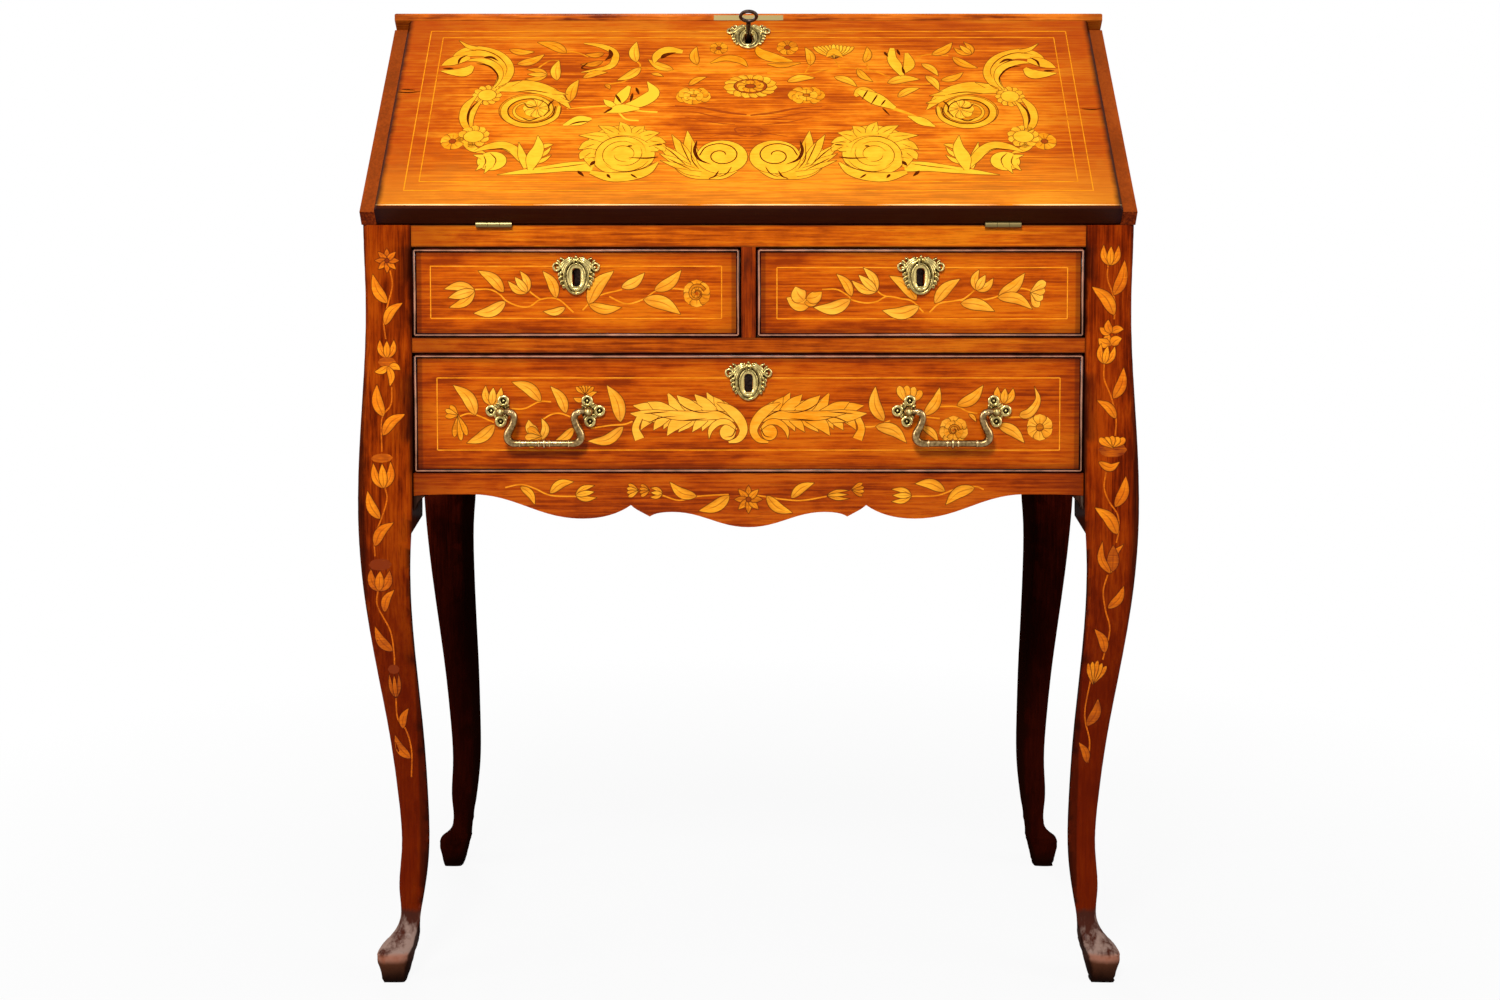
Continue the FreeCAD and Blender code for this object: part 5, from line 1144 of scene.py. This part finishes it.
SAG_FROM, SAG = 110, 0.035      # the right half of the picture sits lower from this height on, by this share
picture = Marquetry(on_fall)
picture.string(-345.4, 345.4, 26, 270)
picture.string(-331.4, 331.4, 38.6, 259.6)
for hand in (-1, 1):
    def at(*points):
        """Points given on the left half, set on this hand."""
        return [(hand * x, y if hand < 0 else y - max(0, y - SAG_FROM) * SAG) for x, y in points]

    # scroll with a beast's head, and the burst that ties it to the horn
    picture.mass(at((318, 220), (311, 231), (299, 237), (284, 236), (270, 229), (260, 217), (256, 203),
                    (259, 189), (266, 177)), (3, 12, 17, 16, 16, 15, 13, 10, 4))
    picture.mass(at((303, 222), (290, 223), (278, 219), (268, 210), (264, 198), (266, 186), (270, 177)),
                 (2, 7, 9, 9, 7, 5, 2), 0.65, 2)
    picture.mass(at((293, 241), (303, 245), (314, 255)), (7, 6, 1), 0.55, 2)
    picture.mass(at((299, 226), (310, 224), (320, 219), (328, 214)), (6, 14, 12, 2), 0.6, 2)
    picture.mass(at((295, 213), (302, 204), (314, 203), (328, 205)), (6, 15, 10, 2), 0.7, 3)
    for width, points in (
        (2.6, ((311, 216), (309, 225), (302, 231))), (2.4, ((315, 209), (326, 209))),
        (3.4, ((284, 227), (276, 227), (268, 221))),
        (1.0, ((306, 236), (290, 239), (276, 234), (265, 224), (258, 210), (259, 196))),
        (2.0, ((291, 217), (279, 214), (271, 206), (266, 195), (268, 182))),
    ):
        picture.cut(*at(*points), width=width)
    picture.bloom(at((275, 167))[0], 16, 12, tone=0.6, heart=0)
    picture.disc(at((275, 167))[0], 10, 9, 0.7, 2)
    # horn that runs out into a volute with a rosette
    picture.disc(at((228, 144))[0], 33, 26, 0.3, 0)
    picture.mass(at((264, 176), (250, 180), (234, 181), (217, 176), (203, 167), (194, 157), (186, 146)),
                 (8, 17, 19, 17, 14, 9, 2), 0.65, 1)
    for base, tip in (((252, 184), (240, 190)), ((206, 172), (190, 168)), ((198, 160), (186, 156))):
        picture.mass(at(base, tip), (8, 1), 0.65, 2)
    start = 15 if hand < 0 else 165
    picture.curl(at((228, 144))[0], (31, 23), start, 1.15 * hand, 8, 0.8, 0.65, 2, SWELL)
    picture.curl(at((228, 144))[0], (23, 14), start - 54 * hand, 1.0 * hand, 7, 0.82, 0.65, 3)
    picture.curl(at((228, 144))[0], (27, 19), start, 1.15 * hand, 1.2, 0.8, 0.5, 6, EVEN, DARK_WOOD)
    picture.bloom(at((221, 147))[0], 15, 8, tone=0.85, heart=0, level=4)
    for width, points in (
        (2.0, ((204, 160), (209, 151), (207, 140))), (1.6, ((220, 150), (230, 148), (236, 156))),
        (1.6, ((218, 132), (228, 128), (238, 134))), (1.2, ((210, 170), (228, 174), (246, 172))),
    ):
        picture.cut(*at(*points), width=width)
    # double band down to the flowers
    picture.mass(at((287, 165), (295, 150), (297, 134), (293, 120), (285, 111)), (4, 9, 9, 8, 4), 0.6)
    picture.mass(at((280, 159), (286, 147), (288, 132), (287, 117)), (3, 7, 6, 4), 0.6)
    picture.cut(*at((284, 157), (291, 143), (292, 130), (289, 119)), width=2.2)
    picture.bloom(at((283, 104))[0], 17, 10, tone=0.65, heart=0)
    picture.disc(at((283, 104))[0], 11, 9, 0.75, 2)
    picture.bloom(at((304, 97))[0], 12.5, 5, tone=0.45, heart=0.3)
    # shell and split leaf
    picture.mass(at((292, 99), (283, 87), (268, 79)), (9, 10, 2), 0.65)
    picture.disc(at((261, 68))[0], 15.5, 14, 0.9, 1)
    for base, tip in (((263, 60), (267, 50)), ((271, 74), (281, 77)), ((270, 62), (276, 54))):
        picture.mass(at(base, tip), (8, 1), 0.85, 1)
    picture.mass(at((280, 82), (266, 89), (252, 91), (240, 84), (231, 72), (221, 57)), (3, 9, 12, 12, 11, 5),
                 0.7, 2)
    picture.mass(at((221, 55), (219, 72), (215, 88), (217, 106)), (6, 16, 12, 1), 0.85, 3)
    picture.mass(at((225, 58), (231, 76), (236, 96)), (7, 9, 1), 0.8, 2)
    for base, middle, tip in (
        ((216, 74), (207, 80), (202, 89)), ((216, 66), (208, 70), (201, 77)),
        ((215, 86), (206, 91), (200, 92)),
    ):
        picture.mass(at(base, middle, tip), (7, 6, 1), 0.75, 2)
    for points in (
        ((264, 80), (257, 70), (259, 58)), ((270, 76), (267, 67), (269, 59)),
        ((266, 84), (252, 86), (242, 80)),
    ):
        picture.cut(*at(*points), width=1.1)
    # whorl of acanthus on a long tail: a leaf with short lobes wrapped round a scroll
    whorl = Vector(at((128, 78))[0])

    def round_whorl(angle, radius, on=0.0):
        """A place so far from the whorl's heart, and so far on round it."""
        rim = Vector((hand * math.cos(math.radians(angle)), math.sin(math.radians(angle))))
        return whorl + rim * radius + Vector((-rim.y, rim.x)) * on * hand

    picture.disc(whorl, 33, 31, 0.75, 1)
    wrap = [round_whorl(168 - 25 * i, 35) for i in range(9)]
    picture.mass(wrap, (5, 12, 15, 16, 16, 16, 15, 12, 5), 0.7, 2)
    for angle, on, tip in (
        (160, 11, 42), (144, 12, 45), (127, 10, 47), (110, 5, 46), (92, -7, 48), (72, -13, 49), (51, -19, 51),
        (27, -15, 44), (4, -11, 43),
    ):
        lobe_line = [round_whorl(angle, 30), round_whorl(angle, 39, on * 0.3), round_whorl(angle, tip, on)]
        picture.mass(lobe_line, (14, 13, 1), 0.7, 3)
        picture.cut(round_whorl(angle, 33), round_whorl(angle, tip - 4, on * 0.7), width=0.6)
    for radius, first, last in (
        (29, -20, 175), (28, 200, 320), (22, -60, 130), (20, 150, 290), (13, 20, 230), (11, 250, 360),
    ):
        turn = (last - first) / 6
        picture.cut(*(round_whorl(first + turn * i, radius * (1 - 0.03 * i)) for i in range(7)), width=0.6)
    picture.mass(at((92, 66), (103, 53), (120, 46), (140, 45), (160, 52)), (3, 11, 13, 13, 6), 0.7, 3)
    picture.mass(at((158, 60), (180, 60), (205, 56), (230, 52), (254, 48)), (16, 14, 11, 7, 1), 0.85, 1)
    for points in (((88, 92), (98, 91)), ((92, 74), (104, 72), (122, 73)), ((119, 90), (124, 90))):
        picture.cut(*at(*points), width=2.0)
    for width, points in (
        (4.0, ((156, 68), (161, 61))), (3.4, ((173, 54), (166, 46))),
        (3.0, ((143, 49), (139, 43))), (2.2, ((119, 49), (112, 43))),
        (0.9, ((98, 66), (106, 58), (120, 53), (138, 52))), (0.9, ((165, 64), (185, 60), (210, 56))),
    ):
        picture.cut(*at(*points), width=width)
    # scroll at the middle with its spread of leaves
    picture.mass(at((20, 50), (38, 50), (55, 57), (66, 70), (73, 86)), (6, 18, 28, 26, 8), 0.6)
    for line, widths in (
        (((54, 64), (60, 88), (63, 112)), (12, 14, 2)), (((60, 66), (69, 86), (79, 107)), (12, 12, 1)),
        (((62, 62), (79, 79), (96, 96)), (12, 12, 1)), (((60, 58), (76, 69), (91, 79)), (10, 9, 1)),
        (((56, 54), (72, 61), (90, 69)), (9, 8, 1)), (((48, 49), (62, 52), (74, 58)), (8, 7, 1)),
        (((14, 56), (26, 46), (40, 42)), (9, 8, 1)),
    ):
        picture.mass(at(*line), widths, 0.7, 2)
    picture.disc(at((27, 74))[0], 26.5, 24.5, 0.75, 3)
    start = 0 if hand > 0 else 180
    picture.curl(at((28, 76))[0], (22, 5), start, 1.45 * hand, 1.2, 0.9, 0.5, 6, EVEN, DARK_WOOD)
    for width, points in (
        (3.6, ((53, 98), (55, 83), (50, 70), (38, 63))), (1.1, ((58, 62), (66, 84), (71, 100))),
        (1.1, ((62, 60), (77, 79), (88, 90))), (1.1, ((50, 56), (58, 72), (58, 100))),
        (1.8, ((30, 54), (34, 46), (40, 43))),
        (1.1, ((58, 55), (74, 66), (84, 73))), (1.2, ((17, 60), (22, 50), (32, 44))),
    ):
        picture.cut(*at(*points), width=width)
    # faint vase between the scrolls
    for width, points in (
        (3.0, ((2, 137), (25, 141), (50, 148), (77, 151))),
        (1.3, ((8, 131), (30, 133), (56, 141), (74, 142))),
        (1.5, ((2, 104), (20, 108), (40, 104))), (1.5, ((2, 118), (14, 116), (10, 108), (3, 111))),
        (1.2, ((14, 122), (40, 126), (66, 134))),
    ):
        picture.lay(at(*points), width, SWELL, 0, -0.1)
picture.bloom((2, 181), 29, 15, 0.64, tone=0.6, heart=0)
picture.disc((2, 181), 18, 11.5, -0.05, 2)
picture.bloom((2, 181), 15, 9, 0.6, tone=0.45, heart=0.4, level=3)
# the left half's own flowers, the standing bird and the stems that carry them
picture.stems(
    ((-205, 234), (-188, 236), (-172, 228)), ((-228, 206), (-214, 221), (-203, 222)),
    ((-116, 211), (-90, 206), (-50, 205)),
    ((-120, 222), (-116, 211), (-130, 190), (-150, 184)), ((-50, 205), (-30, 202), (-8, 208)),
    ((-56, 217), (-50, 205)),
    width=1.8, tone=0.3,
)
picture.leaves(((-258, 240), (-230, 236)), ((-248, 216), (-219, 232)), ((-196, 234), (-229, 252)),
               bend=-0.1, tone=0.45)
picture.leaves(((-203, 190), (-203, 223)), ((-120, 219), (-121, 253)), ((-115, 211), (-140, 190)),
               bend=0.08, tone=0.7)
picture.leaves(((-55, 215), (-56, 245)), ((-176, 194), (-150, 203)), ((-63, 182), (-44, 196)),
               bend=0.1, tone=0.5)
picture.leaves(((-80, 207), (-108, 224)), ((-187, 157), (-180, 192)), ((-104, 201), (-90, 196)),
               bend=0.08, tone=0.55)
picture.tulip((-214, 199), (-237, 200), 18, 0.5)
picture.mass([(-178, 250), (-160, 246), (-146, 237), (-143, 224), (-150, 211), (-178, 203)],
             (2, 7, 9, 9, 8, 2), 0.6)
picture.leaves(((-156, 221), (-180, 216)), ((-155, 234), (-176, 232)), width=9, tone=0.25)
picture.cut((-150, 240), (-148, 230), (-154, 222), width=5)
picture.cut((-172, 218), (-178, 210), (-170, 207), width=2)
picture.mass([(-101, 218), (-98, 230), (-87, 239), (-71, 236)], (3, 11, 12, 7), 0.6)
picture.cut((-94, 225), (-89, 231), (-78, 235), width=5)
picture.bloom((-32, 242), 10, 6, tone=0.3)
picture.mass([(-41, 218), (-24, 226), (-9, 222), (-1, 212)], (2, 10, 10, 2), 0.35)
picture.mass([(-139, 150), (-133, 165), (-126, 181)], (6, 14, 5), 1.0, 1)
picture.mass([(-128, 150), (-112, 157), (-100, 171), (-107, 188)], (8, 16, 14, 2), 1.05, 2)
picture.mass([(-148, 140), (-134, 146), (-114, 146)], (2, 14, 4), 1.05, 3)
picture.mass([(-138, 148), (-146, 154), (-152, 160)], (5, 9, 2), 1.0, 3)
for points in (
    ((-119, 179), (-115, 168)), ((-140, 168), (-133, 154)),
    ((-142, 147), (-151, 139)), ((-122, 170), (-124, 156)),
):
    picture.cut(*points, width=3)
picture.stem((-122, 144), (-108, 142), (-95, 141), width=2, tone=0.9)
picture.stem((-136, 141), (-127, 130), (-114, 128), width=2, tone=0.9)
picture.stem((-140, 151), (-165, 149), (-190, 146), width=3, tone=0.6)
picture.mass([(-163, 131), (-176, 128), (-192, 121)], (4, 15, 3), 1.0)
picture.cut((-166, 127), (-178, 125), (-186, 121), width=2)
picture.bloom((-58, 166), 19, 7, 0.62, tone=0.45, heart=0)
picture.bloom((-58, 166), 11, 5, 0.6, turn=50, tone=0.65, heart=0.35, level=3)
picture.leaf((-152, 184), (-146, 176), 6, 0.1, tone=0.3)
# the right half's own carnation, hooked tulip and winged insect
picture.stems(
    ((20, 202), (60, 201), (98, 210), (128, 207), (150, 196)), ((92, 224), (98, 210)),
    ((128, 207), (126, 220)),
    ((150, 188), (178, 184), (199, 186)), ((66, 216), (60, 201)), ((180, 228), (196, 232), (215, 230)),
    width=1.8, tone=0.3,
)
picture.fan((92, 225), (92, 249), 44, 11, 0.65)
picture.mass([(84, 228), (92, 236), (101, 228)], (3, 11, 3), 0.5, 2)
picture.leaves(((66, 214), (61, 244)), ((124, 219), (128, 245)), ((116, 209), (132, 188)),
               bend=-0.1, tone=0.5)
picture.leaves(((147, 186), (182, 192)), ((157, 164), (181, 178)), ((41, 188), (71, 194)),
               bend=0.1, tone=0.65)
picture.leaves(((91, 196), (115, 180)), ((185, 217), (202, 197)), ((188, 198), (201, 174)),
               bend=0.1, tone=0.65)
picture.leaves(((197, 231), (221, 252)), ((219, 228), (245, 210)), ((204, 190), (229, 203)),
               bend=-0.1, tone=0.45)
picture.tulip((240, 232), (227, 248), 18, 0.4)
picture.mass([(164, 197), (158, 214), (154, 226), (155, 242)], (5, 13, 11, 6), 0.75)
picture.mass([(166, 203), (172, 216), (170, 234)], (5, 13, 5), 0.6)
for points in (((146, 236), (150, 228)), ((160, 240), (163, 230)), ((166, 200), (164, 212))):
    picture.cut(*points, width=3)
picture.bloom((42, 243), 12, 7, tone=0.3)
picture.mass([(47, 221), (28, 226), (14, 234), (8, 246)], (3, 14, 13, 2), 0.45)
picture.mass([(20, 216), (36, 214), (56, 218)], (2, 8, 2), 0.3)
picture.mass([(112, 166), (121, 173), (138, 164)], (5, 15, 6), 0.6)
picture.mass([(116, 173), (134, 161), (153, 147)], (8, 18, 6), 0.8, 2)
for points in (
    ((126, 175), (119, 160)), ((136, 168), (128, 152)), ((144, 160), (138, 150)), ((140, 147), (147, 136)),
):
    picture.cut(*points, width=1.8)
picture.stem((150, 147), (168, 138), (186, 126), width=5, tone=0.5)
picture.mass([(166, 135), (180, 127), (193, 119)], (3, 12, 3), 0.8)
picture.bloom((61, 167), 20, 8, 0.62, tone=0.4, heart=0)
picture.bloom((61, 167), 12, 6, 0.6, turn=60, tone=0.6, heart=0.35, level=3)
# cracks in the veneer by the clamps
for points in (
    ((-371, 172), (-358, 171), (-346, 173)), ((-366, 176), (-352, 175)), ((348, 146), (360, 145), (371, 147)),
):
    picture.cut(*points, width=1.6)
picture.let_in("fall_marquetry", "fall", woods("fall", "#F8B42A", "#E0880E", "#963C06"))

key_spot = Vector(joints["key_turn"]["pos_m"])
key_spot = key_spot + fall_out * (fall_face - (key_spot - hinge).dot(fall_out))
sloped = Matrix((Vector((1, 0, 0)), fall_up, fall_out)).transposed().to_4x4()
placed(keyhole_plate(), "fall_keyhole_plate", "fall", Matrix.Translation(key_spot) @ sloped, cast_brass,
       "brass_fittings", "fall_escutcheon")


# Hinges, lock and striker plate: small brass fittings let into the wood, dull from handling.
# The key and the drawers' locks are wrought iron, filed smooth and brown with age.

plain_brass = brass("worn_sheet_brass", "#241C0E", "#4A3E22", "#7E6E46", 0.36)
dress(plain_brass, "hinge_case_leaves", "hinge_fall_leaves", "hinge_pins", "hinge_case_screws",
      "hinge_fall_screws", "fall_lock_case", "fall_lock_bolt", "fall_striker_plate",
      "inner_left_drawer_knob", "inner_right_drawer_knob")

# wrought iron, filed smooth: near-black brown with rubbed grey spots 2 mm across
wrought_iron, tree, shader = new_material("wrought_iron")
here = add(tree, "TexCoord", {}).outputs["Object"]
spots = add(tree, "TexNoise", {"Vector": here, "Scale": per_mm(2), "Detail": 4}).outputs["Fac"]
colour = add(tree, "ValToRGB", {"Fac": spots}, [(0.3, "#1C120E"), (0.75, "#5A463C")]).outputs["Color"]
tree.links.new(colour, shader.inputs["Base Color"])
shader.inputs["Metallic"].default_value = 0.85
shader.inputs["Roughness"].default_value = 0.36
dress(wrought_iron, "fall_key", "left_drawer_lock", "right_drawer_lock", "long_drawer_lock")


# Inside: the writing bed, the battens that stop the fall, the pigeonholes and two small drawers.
# They are walnut boards a few millimetres thick, glued between the sides behind the fall.

gallery_tones = ("#5A2408", "#95501E", "#B06C34")
dress(walnut("walnut_bed", "#5E2206", "#9C4A14", "#B8642A", (0, 0, 780), (0, 0, 0), gloss=0.4), "writing_bed")
dress(walnut("walnut_gallery", *gallery_tones, (0, 0, 880), gloss=0.42), "gallery_shelf", "fall_stops")
dress(walnut("walnut_dividers", *gallery_tones, (0, 0, 880), grain=1, gloss=0.42), "gallery_dividers")
dress(walnut("walnut_inner_drawers", "#6A2A08", "#B0601C", "#C87C34", (0, 0, 816), gloss=0.36),
      "inner_left_drawer_box", "inner_right_drawer_box")


# Floor: a studio floor of matt white board, laid flat under the feet.
# It looks white like the surround that it fades into, but for the desk's soft shadow.

def seen(tree):
    """1 for a ray that the picture shows, straight, through glass or in a gleam, and 0 for other light."""
    rays = add(tree, "LightPath", {}).outputs
    visible = rays["Is Camera Ray"]
    for kind in ("Is Transmission Ray", "Is Glossy Ray"):
        visible = add(tree, "Math", {0: visible, 1: rays[kind]}, operation="MAXIMUM").outputs[0]
    return visible


# matt white paint, with a glow that is full where the shadow ends
SHADOW_INNER, SHADOW_OUTER = 450 * MM, 1400 * MM
white_floor, tree, shader = new_material("white_studio_floor")
shader.inputs["Base Color"].default_value = linear("#B4B4B4")
shader.inputs["Roughness"].default_value = 0.9
shader.inputs["Specular IOR Level"].default_value = 0.1
glow = add(tree, "Emission", {"Color": linear("#FFFFFF"), "Strength": 1.0})
here = add(tree, "TexCoord", {}).outputs["Object"]
reach = add(tree, "VectorMath", {0: here}, operation="LENGTH").outputs["Value"]
far = add(tree, "MapRange", {
    "Value": reach, "From Min": SHADOW_INNER, "From Max": SHADOW_OUTER, "To Min": 0.92, "To Max": 1.0,
}).outputs["Result"]
share = add(tree, "Math", {0: seen(tree), 1: far}, operation="MULTIPLY").outputs[0]
mixed = add(tree, "MixShader", {0: share, 1: shader.outputs["BSDF"], 2: glow.outputs["Emission"]})
tree.links.new(mixed.outputs["Shader"], tree.nodes["Material Output"].inputs["Surface"])
mesh = bmesh.new()
bmesh.ops.create_grid(mesh, x_segments=1, y_segments=1, size=20.0)
floor = linked(mesh, "studio_floor", [white_floor])


# Light: a white surround, a soft box high in front, weaker ones at both sides and one behind,
# as for a catalogue picture.

scene = bpy.context.scene
scene.view_settings.view_transform = "Standard"
world = bpy.data.worlds.new("white_surround")
scene.world = world
world.use_nodes = True
tree = world.node_tree
level = add(tree, "MapRange", {"Value": seen(tree), "To Min": 0.1, "To Max": 1.0}).outputs["Result"]
tree.nodes["Background"].inputs["Color"].default_value = linear("#FFFFFF")
tree.links.new(level, tree.nodes["Background"].inputs["Strength"])
aim = Vector((0, -0.1, 0.6))        # the middle of the front
for name, place, size, power in (
    ("high_front_softbox", (-0.4, -2.3, 2.25), 0.6, 69), ("right_softbox", (2.4, -1.1, 1.7), 1.3, 34),
    ("left_softbox", (-2.4, -1.1, 1.6), 1.3, 36), ("back_softbox", (-1.0, 2.5, 2.0), 1.4, 48),
):
    lamp = bpy.data.lights.new(name, "AREA")
    lamp.shape = "RECTANGLE"
    lamp.size = lamp.size_y = size
    lamp.energy = power
    held = bpy.data.objects.new(name, lamp)
    held.location = place
    held.rotation_euler = (aim - Vector(place)).to_track_quat("-Z", "Y").to_euler()
    scene.collection.objects.link(held)


# Camera: square to the front, at the height of the small drawers, as for a catalogue picture.
# It is tilted down a little, and its frame is shifted down towards the feet.

PICTURE_WIDTH, PICTURE_HEIGHT = 1500, 1000
FOCAL_PIXELS = 1736.0
MIDDLE_ROW, MIDDLE_COLUMN = 374.0, 748.5
STAND_OFF, EYE_HEIGHT, TILT = 1747.0 * MM, 721.5 * MM, math.radians(3)
view = bpy.data.cameras.new("front_view")
view.sensor_width = 36.0
view.lens = FOCAL_PIXELS / PICTURE_WIDTH * view.sensor_width
view.shift_x = (PICTURE_WIDTH / 2 - MIDDLE_COLUMN) / PICTURE_WIDTH
view.shift_y = -(PICTURE_HEIGHT / 2 - MIDDLE_ROW) / PICTURE_WIDTH
camera = bpy.data.objects.new("front_view", view)
camera.location = (0, face_y - STAND_OFF, EYE_HEIGHT)
camera.rotation_euler = (math.radians(90) - TILT, 0, 0)
scene.collection.objects.link(camera)
scene.camera = camera
